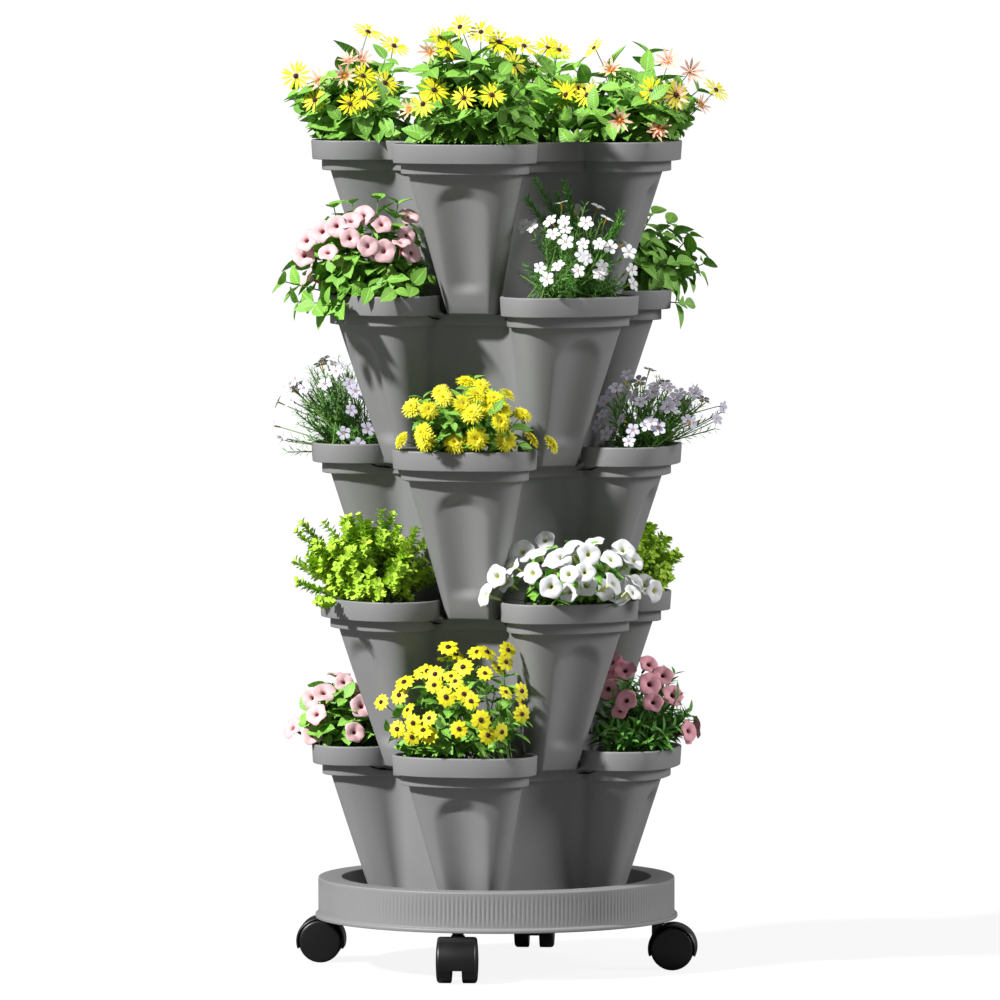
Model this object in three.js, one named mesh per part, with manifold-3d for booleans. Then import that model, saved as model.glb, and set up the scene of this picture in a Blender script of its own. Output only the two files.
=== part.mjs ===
// Vertical planter tower: a stack of four-lobed planters on a round rolling tray.
//
// Millimetres, +Z up. The origin is on the floor under the tower's axis and the front is -Y.
// The lobes of the bottom planter point to the front, right, back and left, and each planter
// is turned by half a lobe on the one below, so that its feet stand in the notches between
// the lobes. The top planter has a whole rim. Every planter holds soil and a plant in each
// pocket. The tray rolls on four twin-wheel swivel casters whose stems sit in sockets inside
// its hollow ring.

import * as THREE from "three";
import { mergeVertices } from "three/addons/utils/BufferGeometryUtils.js";
import Module from "manifold-3d";

const wasm = await Module();
wasm.setup();

// The stack.
const tierCount = 5;
const lobeCount = 4;
const pitch = 140; // from one planter's foot to the next one's
const wall = 2.5;
const seatGap = 0.3; // between pieces that rest on each other
const cutOverrun = 1; // how far a cutter reaches past what it cuts

// A planter's outline at the rim. In front of its widest place each lobe is half a
// superellipse. Behind it the side turns inwards and meets the flat web in a hollow corner.
const lobeRadius = 126; // tower's axis to the widest place of a lobe at the rim
const rimHalfWidth = 67;
const rimReach = 46; // from the widest place to the front of the rim
const rimWebDepth = 35.5; // web behind the line through two lobes' nearest widest places
const rimTurn = Math.PI / 4; // how far the side of a lobe turns inwards
const rimCorner = 6; // radius of the hollow corner
const rimDraft = 1; // the band narrows by this much downwards
const rimHeight = 18;
const rimWall = 3.8;
const rimStep = { side: 8, front: 10 }; // rim band to second band, the web as the sides
const bandHeight = 10;
const bandStep = { side: 6.5, front: 8 }; // second band to body
const bodyTurn = Math.PI / 6; // at the foot as well
const bodyCorner = 20; // at the top of the body
const topSquareness = 2.4; // exponent of the superellipse

// A planter's outline at the foot.
const footRadius = 90;
const footHalfWidth = 23.25;
const footReach = 22;
const footWebDepth = 8;
const footCorner = 8;
const footSquareness = 3.4;
const footHeight = 17.5; // plain foot below the flute

// The hollow flute down the face of each lobe.
const fluteDepth = 4.5;
const fluteFootHalfWidth = 18;
const fluteTopHalfWidth = 28;
const fluteRun = 2; // height in which the flute starts above the foot
const fluteFullTop = 98; // from here up the flute fades towards the second band

// Notches and ledges between the lobes, and drain holes.
const footClearance = 6.75; // beside each foot in its notch
const notchCorner = 6;
const ledgeThickness = 3;
const ledgeDepth = 24;
const drainRadius = 3.5;
const middleDrainRadius = 5;

// The soil.
const soilGap = 0.3; // to the planter's wall and ledges

// The rolling tray.
const trayBottom = 45.5;
const trayFloor = 2.5;
const ringTop = 83;
const ringInnerRadius = 143;
const ringWidth = 22.3;
const lipWidth = 2.8; // outside the ring
const lipHeight = 4;
const socketWall = 4;

// The casters.
const casterCount = 4;
const wheelRadius = 20;
const wheelWidth = 13.4;
const wheelGap = 10.2; // between the two wheels
const wheelBevel = 3;
const wheelDome = 0.8;
const wheelClearance = 0.9; // wheel to hood
const hoodWall = 1.6;
const hoodWidth = 36.6;
const hoodDrop = 7; // hood's lower edge below the axle
const webClearance = 0.4; // middle web to each wheel
const trail = 13; // stem axis to axle
const casterTurn = Math.PI / 18; // from the straight way outwards
const axleRadius = 2.5;
const axleInWheel = 10;
const fitGap = 0.35; // axle and stem in their holes
const stemRadius = 4;
const stemLength = 26; // above the collar
const collarRadius = 5.4;
const pinRadius = 2.5; // lower end of the stem
const pinLength = 17;
const bossRadius = 6.5;

// How finely round things are cut.
const frontSteps = 2;
const shoulderSteps = 3; // on the outer side
const innerShoulderSteps = 2;
const sideSteps = 2; // behind the widest place
const traySegments = 48;
const wheelSegments = 16;
const pinSegments = 10;
const cornerSegments = 2;
const hoodSegments = 9;
const drainSegments = 6;
const plantSegments = 10;

const tierHeight = pitch + rimHeight - seatGap;
const ledgeTop = tierHeight - rimHeight;
const bandBottom = ledgeTop - bandHeight;
const soilTop = ledgeTop - ledgeThickness - soilGap;
const halfLobe = Math.PI / lobeCount;
const trayFloorTop = trayBottom + trayFloor;
const ringRadius = ringInnerRadius + ringWidth;
const lipRadius = ringRadius + lipWidth;

const plastic = { color: 0x8e8f90, roughness: 0.62, metalness: 0 };
const black = { color: 0x1b1c1e, roughness: 0.45, metalness: 0 };
const steel = { color: 0x8a8d90, roughness: 0.35, metalness: 0.9 };
const blackSteel = { color: 0x1d1e20, roughness: 0.5, metalness: 0.3 };
const earth = { color: 0x2a1f17, roughness: 0.95, metalness: 0 };

// Solids and meshes.

function toSolid(geometry) {
  const bare = geometry.clone();
  bare.deleteAttribute("normal");
  bare.deleteAttribute("uv");
  const merged = mergeVertices(bare);
  return new wasm.Manifold(new wasm.Mesh({
    numProp: 3,
    vertProperties: new Float32Array(merged.attributes.position.array),
    triVerts: new Uint32Array(merged.index.array),
  }));
}

function toMesh(name, solid, finish) {
  const { vertProperties, triVerts } = solid.getMesh();
  const geometry = new THREE.BufferGeometry();
  geometry.setAttribute("position", new THREE.BufferAttribute(new Float32Array(vertProperties), 3));
  geometry.setIndex(new THREE.BufferAttribute(new Uint32Array(triVerts), 1));
  geometry.computeVertexNormals();
  const mesh = new THREE.Mesh(geometry, new THREE.MeshStandardMaterial(finish));
  mesh.name = name;
  return mesh;
}

// Rings of equally many points from bottom to top, anticlockwise seen from above, closed at
// both ends by a fan round the mean of the end ring.
function loftRings(rings) {
  const count = rings[0].length;
  const positions = rings.flat(2);
  const indices = [];
  const middleOf = (ring) => [0, 1, 2].map((axis) => ring.reduce((sum, p) => sum + p[axis], 0) / count);
  positions.push(...middleOf(rings[0]), ...middleOf(rings[rings.length - 1]));
  const bottom = rings.length * count;
  const top = bottom + 1;
  for (let j = 0; j < count; j += 1) {
    const next = (j + 1) % count;
    indices.push(bottom, next, j);
    indices.push(top, top - 2 - count + 1 + j, top - 2 - count + 1 + next);
    for (let i = 0; i + 1 < rings.length; i += 1) {
      const low = i * count;
      const high = low + count;
      indices.push(low + j, low + next, high + next, low + j, high + next, high + j);
    }
  }
  const geometry = new THREE.BufferGeometry();
  geometry.setAttribute("position", new THREE.Float32BufferAttribute(positions, 3));
  geometry.setIndex(indices);
  return toSolid(geometry);
}

// A profile of [radius, height] pairs turned round the Z axis.
function turned(profile, segments) {
  const points = profile.map(([radius, height]) => new THREE.Vector2(radius, height));
  return toSolid(new THREE.LatheGeometry(points, segments).rotateX(Math.PI / 2));
}

function cylinder(radius, bottom, top, segments) {
  return turned([[0, bottom], [radius, bottom], [radius, top], [0, top]], segments);
}

// A shape drawn in X and Y, extruded along Z from bottom to top.
function extruded(shape, bottom, top, curveSegments) {
  const options = { depth: top - bottom, bevelEnabled: false, curveSegments };
  return toSolid(new THREE.ExtrudeGeometry(shape, options).translate(0, 0, bottom));
}

function degrees(radians) {
  return THREE.MathUtils.radToDeg(radians);
}

function mix(low, high, share) {
  return low + (high - low) * share;
}

// The planter.

// A section holds the sizes of the outline at one level.
const rim = {
  centre: lobeRadius,
  halfWidth: rimHalfWidth,
  reach: rimReach,
  squareness: topSquareness,
  fluteHalfWidth: fluteTopHalfWidth,
  fluteDepth: 0,
  webRadius: webRadiusAt(lobeRadius, rimHalfWidth, rimWebDepth),
  turn: rimTurn,
  corner: rimCorner,
};
const foot = {
  centre: footRadius,
  halfWidth: footHalfWidth,
  reach: footReach,
  squareness: footSquareness,
  fluteHalfWidth: fluteFootHalfWidth,
  fluteDepth,
  webRadius: webRadiusAt(footRadius, footHalfWidth, footWebDepth),
  turn: bodyTurn,
  corner: footCorner,
};
const band = stepped(rim, rimStep);
const bodyTop = { ...stepped(band, bandStep), turn: bodyTurn, corner: bodyCorner, fluteDepth };
const rimBottom = stepped(rim, { side: rimDraft, front: rimDraft });

// Tower's axis to the web, which lies depth behind the line through the widest places.
function webRadiusAt(centre, halfWidth, depth) {
  return centre * Math.cos(halfLobe) + halfWidth * Math.sin(halfLobe) - depth;
}

function stepped(section, step) {
  return {
    ...section,
    halfWidth: section.halfWidth - step.side,
    reach: section.reach - step.front,
    webRadius: section.webRadius - step.side,
  };
}

// The section at the same distance behind the outline everywhere.
function narrowed(section, inset) {
  return { ...stepped(section, { side: inset, front: inset }), corner: section.corner + inset };
}

// The body from the foot (0) to the second band (1).
function bodySection(share) {
  const sizes = Object.keys(foot).map((key) => [key, mix(foot[key], bodyTop[key], share)]);
  return Object.fromEntries(sizes);
}

// How far a lobe's face lies in front of its centre at a distance from its middle line.
function faceReach(section, side) {
  const share = Math.pow(side / section.halfWidth, section.squareness);
  return section.reach * Math.pow(1 - share, 1 / section.squareness);
}

// Half the width of a lobe where its face reaches a given distance.
function faceHalfWidth(section, reach) {
  const share = Math.pow(reach / section.reach, section.squareness);
  return section.halfWidth * Math.pow(1 - share, 1 / section.squareness);
}

// The radius of the side behind the widest place, such that the hollow corner touches the web.
function sideRadius(section) {
  const { centre, halfWidth, webRadius, turn, corner } = section;
  const lean = Math.sin(halfLobe - turn);
  const depth = centre * Math.cos(halfLobe) + halfWidth * Math.sin(halfLobe) - webRadius;
  return (depth - corner * (1 - lean)) / (Math.sin(halfLobe) - lean);
}

// One closed outline at a height. The front of each lobe, up to edge on both sides of its
// middle line, has the reach that front gives for a share of the edge. The shoulder follows
// the superellipse to the widest place, the side turns inwards on an arc, and one chord in
// the hollow corner leads to the flat web.
function outlineRing(height, section, edge, front, steps, shoulders) {
  const half = [];
  for (let i = 0; i <= steps; i += 1) {
    const share = i / steps;
    half.push([section.centre + front(share), share * edge]);
  }
  const power = 2 / section.squareness;
  const start = Math.asin(Math.pow(edge / section.halfWidth, 1 / power));
  for (let i = 1; i <= shoulders; i += 1) {
    const angle = mix(start, Math.PI / 2, i / shoulders);
    const cosine = Math.max(Math.cos(angle), 0);
    half.push([
      section.centre + (i < shoulders ? section.reach * Math.pow(cosine, power) : 0),
      section.halfWidth * Math.pow(Math.sin(angle), power),
    ]);
  }
  const radius = sideRadius(section);
  for (let i = 1; i <= sideSteps; i += 1) {
    const angle = section.turn * (i / sideSteps);
    half.push([
      section.centre - radius * Math.sin(angle),
      section.halfWidth - radius * (1 - Math.cos(angle)),
    ]);
  }
  const [sideX, sideY] = half[half.length - 1];
  half.push([
    sideX - section.corner * (Math.sin(section.turn) + Math.cos(halfLobe)),
    sideY + section.corner * (Math.cos(section.turn) - Math.sin(halfLobe)),
  ]);
  const lobe = half.slice(1).reverse().map(([x, y]) => [x, -y]).concat(half);
  const ring = [];
  for (let k = 0; k < lobeCount; k += 1) {
    const turn = 2 * halfLobe * k - Math.PI / 2;
    for (const [x, y] of lobe) {
      ring.push([
        x * Math.cos(turn) - y * Math.sin(turn),
        x * Math.sin(turn) + y * Math.cos(turn),
        height,
      ]);
    }
  }
  return ring;
}

// The outer outline: flat is the share of the flattened face, hollow that of the flute.
function outerRing(height, section, flat, hollow) {
  const edge = section.fluteHalfWidth;
  const chord = faceReach(section, edge);
  const front = (share) => {
    const round = faceReach(section, share * edge);
    const fluted = chord - hollow * section.fluteDepth * (1 - share * share);
    return mix(round, fluted, flat);
  };
  return outlineRing(height, section, edge, front, frontSteps, shoulderSteps);
}

// The inner outline keeps the wall's thickness behind the flute's deepest line, or follows
// the round outline where there is no flute.
function innerRing(height, section, inset) {
  const inner = narrowed(section, inset);
  const behindFlute = faceReach(section, section.fluteHalfWidth) - section.fluteDepth - inset;
  const edge = faceHalfWidth(inner, behindFlute);
  const front = (share) => (section.fluteDepth > 0 ? behindFlute : faceReach(inner, share * edge));
  return outlineRing(height, inner, edge, front, 1, innerShoulderSteps);
}

// The outside of a planter, or with grown more than 0 a body that keeps that distance to it.
function planterOutside(grown = 0) {
  const wide = (section) => narrowed(section, -grown);
  const at = (height) => wide(bodySection(height / bandBottom));
  return loftRings([
    outerRing(0, at(0), 1, 0),
    outerRing(footHeight, at(footHeight), 1, 0),
    outerRing(footHeight + fluteRun, at(footHeight + fluteRun), 1, 1),
    outerRing(fluteFullTop, at(fluteFullTop), 1, 1),
    outerRing(bandBottom, at(bandBottom), 0, 0),
    outerRing(bandBottom, wide(band), 0, 0),
    outerRing(ledgeTop, wide(band), 0, 0),
    outerRing(ledgeTop, wide(rimBottom), 0, 0),
    outerRing(tierHeight, wide(rim), 0, 0),
  ]);
}

// The hollow of a planter, open at the top.
function planterInside() {
  return loftRings([
    innerRing(wall, bodySection(wall / bandBottom), wall),
    innerRing(bandBottom + wall, bodyTop, wall),
    innerRing(bandBottom + wall, band, wall),
    innerRing(ledgeTop + wall, band, wall),
    innerRing(ledgeTop + wall, rimBottom, rimWall),
    innerRing(tierHeight + cutOverrun, rim, rimWall),
  ]);
}

// A solid made for the web along the X axis, repeated for each web.
function roundWebs(one) {
  const turns = Array.from({ length: lobeCount }, (_, k) => degrees(halfLobe * (2 * k + 1)));
  return turns.map((turn) => one.rotate([0, 0, turn])).reduce((all, piece) => all.add(piece));
}

const notchHalfWidth = footHalfWidth + footClearance;

// A notch that is open at the top, with round lower corners, seen along the web's radius.
function notchShape(bottom, top) {
  const shape = new THREE.Shape();
  shape.moveTo(-notchHalfWidth, top);
  shape.lineTo(-notchHalfWidth, bottom + notchCorner);
  shape.absarc(notchCorner - notchHalfWidth, bottom + notchCorner, notchCorner, Math.PI, 1.5 * Math.PI);
  shape.absarc(notchHalfWidth - notchCorner, bottom + notchCorner, notchCorner, -Math.PI / 2, 0);
  shape.lineTo(notchHalfWidth, top);
  return shape;
}

function notchCutters() {
  const shape = notchShape(ledgeTop, tierHeight + cutOverrun);
  const inner = band.webRadius - ledgeDepth;
  const one = extruded(shape, inner, lobeRadius + rimReach, cornerSegments);
  return roundWebs(one.rotate([90, 0, 90]));
}

// The shelf inside each web on which a foot of the next planter stands.
function ledges() {
  const inner = band.webRadius - ledgeDepth;
  const outer = band.webRadius - wall / 2;
  const half = notchHalfWidth;
  const corner = notchCorner;
  const shape = new THREE.Shape();
  shape.moveTo(outer, -half);
  shape.lineTo(outer, half);
  shape.lineTo(inner + corner, half);
  shape.absarc(inner + corner, half - corner, corner, Math.PI / 2, Math.PI);
  shape.absarc(inner + corner, corner - half, corner, Math.PI, 1.5 * Math.PI);
  return roundWebs(extruded(shape, ledgeTop - ledgeThickness, ledgeTop, cornerSegments));
}

function drainCutters() {
  const middle = cylinder(middleDrainRadius, -cutOverrun, wall + cutOverrun, drainSegments);
  let all = middle;
  for (let k = 0; k < lobeCount; k += 1) {
    const turn = 2 * halfLobe * k;
    const hole = cylinder(drainRadius, -cutOverrun, wall + cutOverrun, drainSegments)
      .translate([footRadius * Math.cos(turn), footRadius * Math.sin(turn), 0]);
    all = all.add(hole);
  }
  return all;
}

function makePlanter(isTop) {
  const shell = planterOutside().subtract(planterInside()).subtract(drainCutters());
  return isTop ? shell : shell.add(ledges()).subtract(notchCutters());
}

// The soil fills the planter up to just below the ledges.
function makeSoil() {
  const inset = wall + soilGap;
  const body = (height) => innerRing(height, bodySection(Math.min(height / bandBottom, 1)), inset);
  return loftRings([
    body(inset),
    body(bandBottom + wall),
    innerRing(bandBottom + wall, band, inset),
    innerRing(soilTop, band, inset),
  ]);
}

// The plants.

const leafClearance = 6; // above the rim
const leafGap = 2; // to the planter above, or to the middle plant

// Sizes of each plant's leaves and flowers together: half the width as a share of the rim's
// half width, how far they reach in front of the lobe's centre as a share of the rim's reach,
// and the height above the rim as a share of the pitch. Rows go round from the front, or from
// the front right.
const plantShares = [
  [[1.08, 1.46, 0.66], [0.98, 1.52, 0.56], [1.0, 1.46, 0.56], [1.0, 1.52, 0.5]],
  [[1.12, 1.53, 0.42], [0.95, 1.49, 0.48], [1.0, 1.49, 0.5], [1.06, 1.6, 0.56]],
  [[1.1, 1.65, 0.48], [1.0, 1.93, 0.52], [1.05, 1.65, 0.5], [1.0, 1.93, 0.6]],
  [[1.05, 1.5, 0.66], [0.95, 1.75, 0.56], [1.0, 1.55, 0.5], [1.1, 1.7, 0.6]],
  [[1.1, 1.55, 0.78], [1.1, 1.92, 0.66], [1.1, 1.55, 0.7], [1.1, 1.92, 0.66]],
];
const middleWidthShare = 1.05;
const middleHeightShare = 0.66;

// The leaves' outline above the rim, as shares of the plant's height and width. The stems
// stand close together in the pocket.
const leafOutlineShares = [[0.06, 0.88], [0.36, 1], [0.72, 0.82], [1, 0.4]];
const stemShare = 0.4;

// A plant with X outwards from the tower's axis. Its stems stand round root, and its leaves
// lie between the distances inner and outer.
function makePlant(root, halfWidth, inner, outer, height) {
  const halfDepth = (outer - inner) / 2;
  const ring = (level, widthShare, centre) => Array.from({ length: plantSegments }, (_, j) => {
    const angle = (2 * Math.PI * j) / plantSegments;
    return [
      centre + halfDepth * widthShare * Math.cos(angle),
      halfWidth * widthShare * Math.sin(angle),
      level,
    ];
  });
  const leafBottom = tierHeight + leafClearance;
  return loftRings([
    ring(soilTop + soilGap, stemShare, root),
    ring(leafBottom, stemShare, root),
    ...leafOutlineShares.map(([heightShare, widthShare]) => (
      ring(mix(leafBottom, tierHeight + height, heightShare), widthShare, inner + halfDepth)
    )),
  ]);
}

function sideNames(tier) {
  return tier % 2 === 0
    ? ["front", "right", "back", "left"]
    : ["front_right", "back_right", "back_left", "front_left"];
}

const plantFinishes = [
  [0x6f9a35, 0x5b8a3c, 0x4f7f33, 0x5b8a3c],
  [0x5f9440, 0x4f8a2f, 0x5b8a3c, 0x9fc63a],
  [0x9a9a25, 0x6f8a6a, 0x5b8a3c, 0x6f8a6a],
  [0x55803f, 0x4fae3a, 0x5b8a3c, 0x6aa24a],
  [0x6aa63f, 0x7da63f, 0x6aa63f, 0x7da63f],
];
const middlePlantColor = 0x6aa63f;

function plantsOf(tier) {
  const isTop = tier === tierCount - 1;
  const middle = middleWidthShare * rimHalfWidth;
  const inner = (isTop ? middle : bodyTop.webRadius) + leafGap;
  const above = planterOutside(leafGap).rotate([0, 0, degrees(halfLobe)]).translate([0, 0, pitch]);
  const plants = sideNames(tier).map((side, k) => {
    const [widthShare, reachShare, heightShare] = plantShares[tier][k];
    const outer = lobeRadius + reachShare * rimReach;
    const grown = makePlant(lobeRadius, widthShare * rimHalfWidth, inner, outer, heightShare * pitch)
      .rotate([0, 0, degrees(2 * halfLobe * k - Math.PI / 2)]);
    const finish = { color: plantFinishes[tier][k], roughness: 0.8, metalness: 0 };
    return toMesh(`tier_${tier + 1}_${side}_plant`, isTop ? grown : grown.subtract(above), finish);
  });
  if (isTop) {
    const solid = makePlant(0, middle, -middle, middle, middleHeightShare * pitch);
    const finish = { color: middlePlantColor, roughness: 0.8, metalness: 0 };
    plants.push(toMesh(`tier_${tierCount}_middle_plant`, solid, finish));
  }
  return plants;
}

function planterTower() {
  const tower = new THREE.Group();
  for (let tier = 0; tier < tierCount; tier += 1) {
    const group = new THREE.Group();
    group.add(toMesh(`tier_${tier + 1}_planter`, makePlanter(tier === tierCount - 1), plastic));
    group.add(toMesh(`tier_${tier + 1}_soil`, makeSoil(), earth));
    group.add(...plantsOf(tier));
    group.position.z = trayFloorTop + seatGap + tier * pitch;
    group.rotation.z = (tier % 2) * halfLobe;
    tower.add(group);
  }
  return tower;
}

// The rolling tray.

const channelInner = ringInnerRadius + wall;
const channelOuter = ringRadius - wall;
const casterRadius = (channelInner + channelOuter) / 2;

function makeTray() {
  const channelTop = ringTop - wall;
  const body = turned([
    [0, trayBottom],
    [channelInner, trayBottom],
    [channelInner, channelTop],
    [channelOuter, channelTop],
    [channelOuter, trayBottom],
    [lipRadius, trayBottom],
    [lipRadius, trayBottom + lipHeight],
    [ringRadius, trayBottom + lipHeight],
    [ringRadius, ringTop],
    [ringInnerRadius, ringTop],
    [ringInnerRadius, trayFloorTop],
    [0, trayFloorTop],
  ], traySegments);
  let tray = body;
  const boreRadius = stemRadius + fitGap;
  for (let k = 0; k < casterCount; k += 1) {
    const angle = (2 * Math.PI * k) / casterCount;
    const place = [casterRadius * Math.cos(angle), casterRadius * Math.sin(angle), 0];
    const boss = cylinder(boreRadius + socketWall, trayBottom, channelTop + wall / 2, pinSegments)
      .translate(place);
    const bore = cylinder(boreRadius, trayBottom - cutOverrun, trayBottom + stemLength + fitGap,
      pinSegments).translate(place);
    tray = tray.add(boss).subtract(bore);
  }
  return toMesh("rolling_tray", tray, plastic);
}

// The casters, each in its own frame with the stem on the Z axis and X towards the axle.

const hoodRadius = wheelRadius + wheelClearance + hoodWall;
const hoodTop = wheelRadius + hoodRadius;

// The solid round the axle with a level lower edge, as seen along the axle.
function hoodShape() {
  const shape = new THREE.Shape();
  const start = -Math.asin(hoodDrop / hoodRadius);
  shape.absarc(trail, wheelRadius, hoodRadius, start, Math.PI - start);
  return shape;
}

function acrossCaster(shape, from, to, segments) {
  return extruded(shape, from, to, segments).rotate([90, 0, 0]);
}

function makeHood() {
  const wellRadius = wheelRadius + wheelClearance;
  const webHalf = wheelGap / 2 - webClearance;
  const side = hoodWidth / 2;
  const well = (from, to) => {
    const circle = new THREE.Shape();
    circle.absarc(trail, wheelRadius, wellRadius, 0, 2 * Math.PI);
    return acrossCaster(circle, from, to, hoodSegments);
  };
  const axleHole = new THREE.Shape();
  axleHole.absarc(trail, wheelRadius, axleRadius + fitGap, 0, 2 * Math.PI);
  const hole = acrossCaster(axleHole, -side, side, pinSegments);
  const pinHole = cylinder(pinRadius + fitGap, hoodTop - pinLength - fitGap, hoodTop + cutOverrun,
    pinSegments);
  return acrossCaster(hoodShape(), -side, side, hoodSegments)
    .add(cylinder(bossRadius, wheelRadius, hoodTop, pinSegments))
    .subtract(well(webHalf, side + cutOverrun))
    .subtract(well(-side - cutOverrun, -webHalf))
    .subtract(hole)
    .subtract(pinHole);
}

// The stem: its upper part in the tray's socket, a collar between tray and hood, and the
// pin that the hood turns on.
function makeStem() {
  const collarTop = trayBottom - seatGap;
  const collarBottom = hoodTop + seatGap;
  return turned([
    [0, hoodTop - pinLength],
    [pinRadius, hoodTop - pinLength],
    [pinRadius, collarBottom],
    [collarRadius, collarBottom],
    [collarRadius, collarTop],
    [stemRadius, collarTop],
    [stemRadius, trayBottom + stemLength],
    [0, trayBottom + stemLength],
  ], pinSegments);
}

function makeAxle() {
  const half = wheelGap / 2 + axleInWheel;
  return cylinder(axleRadius, -half, half, pinSegments).rotate([90, 0, 0])
    .translate([trail, 0, wheelRadius]);
}

// A wheel lies flat on the floor on one of its faces, so its corners stand a little outside
// the rolling radius. Its bore is closed by the domed outer side.
function makeWheel(side) {
  const corner = wheelRadius / Math.cos(Math.PI / wheelSegments);
  const inner = wheelGap / 2;
  const outer = inner + wheelWidth;
  const bore = axleRadius + fitGap;
  return turned([
    [0, inner + axleInWheel + fitGap],
    [bore, inner + axleInWheel + fitGap],
    [bore, inner],
    [corner, inner],
    [corner, outer - wheelBevel],
    [corner - wheelBevel, outer],
    [0, outer + wheelDome],
  ], wheelSegments)
    .rotate([0, 0, degrees(Math.PI / wheelSegments)])
    .rotate([side * 90, 0, 0])
    .translate([trail, 0, wheelRadius]);
}

function makeCasters() {
  const casters = new THREE.Group();
  sideNames(0).forEach((side, k) => {
    const caster = new THREE.Group();
    caster.add(toMesh(`caster_${side}_stem`, makeStem(), blackSteel));
    caster.add(toMesh(`caster_${side}_hood`, makeHood(), black));
    caster.add(toMesh(`caster_${side}_axle`, makeAxle(), steel));
    caster.add(toMesh(`caster_${side}_left_wheel`, makeWheel(-1), black));
    caster.add(toMesh(`caster_${side}_right_wheel`, makeWheel(1), black));
    const angle = (2 * Math.PI * k) / casterCount - Math.PI / 2;
    caster.rotation.z = angle + casterTurn;
    caster.position.set(casterRadius * Math.cos(angle), casterRadius * Math.sin(angle), 0);
    casters.add(caster);
  });
  return casters;
}

const planter = new THREE.Group();
planter.name = "vertical_planter_tower";
planter.add(makeTray(), makeCasters(), planterTower());

export default planter;
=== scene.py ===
"""The looks of the vertical planter tower, built round its fixed frame of CAD parts.

Metres, +Z up. The origin is on the floor under the tower's axis and the front is -Y. Fine
shells, soil, plants and casters stand for the CAD solids of the same places.
"""

import math

import bpy
import numpy as np
from bpy.props import FloatProperty, FloatVectorProperty, IntProperty, PointerProperty
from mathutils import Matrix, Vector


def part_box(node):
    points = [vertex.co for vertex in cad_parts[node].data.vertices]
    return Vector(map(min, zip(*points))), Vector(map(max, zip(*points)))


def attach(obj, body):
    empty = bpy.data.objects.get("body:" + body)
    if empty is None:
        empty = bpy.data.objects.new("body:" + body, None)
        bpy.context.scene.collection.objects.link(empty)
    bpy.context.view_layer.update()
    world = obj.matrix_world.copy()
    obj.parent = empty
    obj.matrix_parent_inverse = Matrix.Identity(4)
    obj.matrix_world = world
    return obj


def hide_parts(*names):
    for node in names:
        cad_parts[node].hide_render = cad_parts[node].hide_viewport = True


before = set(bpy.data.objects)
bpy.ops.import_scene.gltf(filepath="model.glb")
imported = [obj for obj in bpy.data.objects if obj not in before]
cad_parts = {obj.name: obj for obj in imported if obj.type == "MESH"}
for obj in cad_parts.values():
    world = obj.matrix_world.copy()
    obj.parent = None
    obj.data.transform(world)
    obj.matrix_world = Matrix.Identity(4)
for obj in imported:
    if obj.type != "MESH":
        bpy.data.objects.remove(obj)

bl_info = {
    "name": "Vertical planter tower",
    "version": (1, 0, 0),
    "blender": (4, 5, 0),
    "location": "View3D > Sidebar > Planter tower",
    "description": "Builds the shells, soil, plants, casters and stage of a planter tower",
    "category": "Add Mesh",
}

MM = 0.001
TIERS = 5
LOBES = 4
HALF_LOBE = math.pi / LOBES
CASTER_SIDES = ("front", "right", "back", "left")


def length(name, description, millimetres):
    """A property that holds a length, given in millimetres."""
    return FloatProperty(name=name, description=description, default=millimetres * MM, unit="LENGTH")


def share(name, description, default):
    """A property that holds a number without a unit."""
    return FloatProperty(name=name, description=description, default=default)


def turn(name, description, degrees):
    """A property that holds an angle, given in degrees."""
    return FloatProperty(name=name, description=description, default=math.radians(degrees), unit="ROTATION")


def colour(name, description, default):
    """A property that holds a linear colour."""
    return FloatVectorProperty(name=name, description=description, default=default, subtype="COLOR", size=3)


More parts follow.
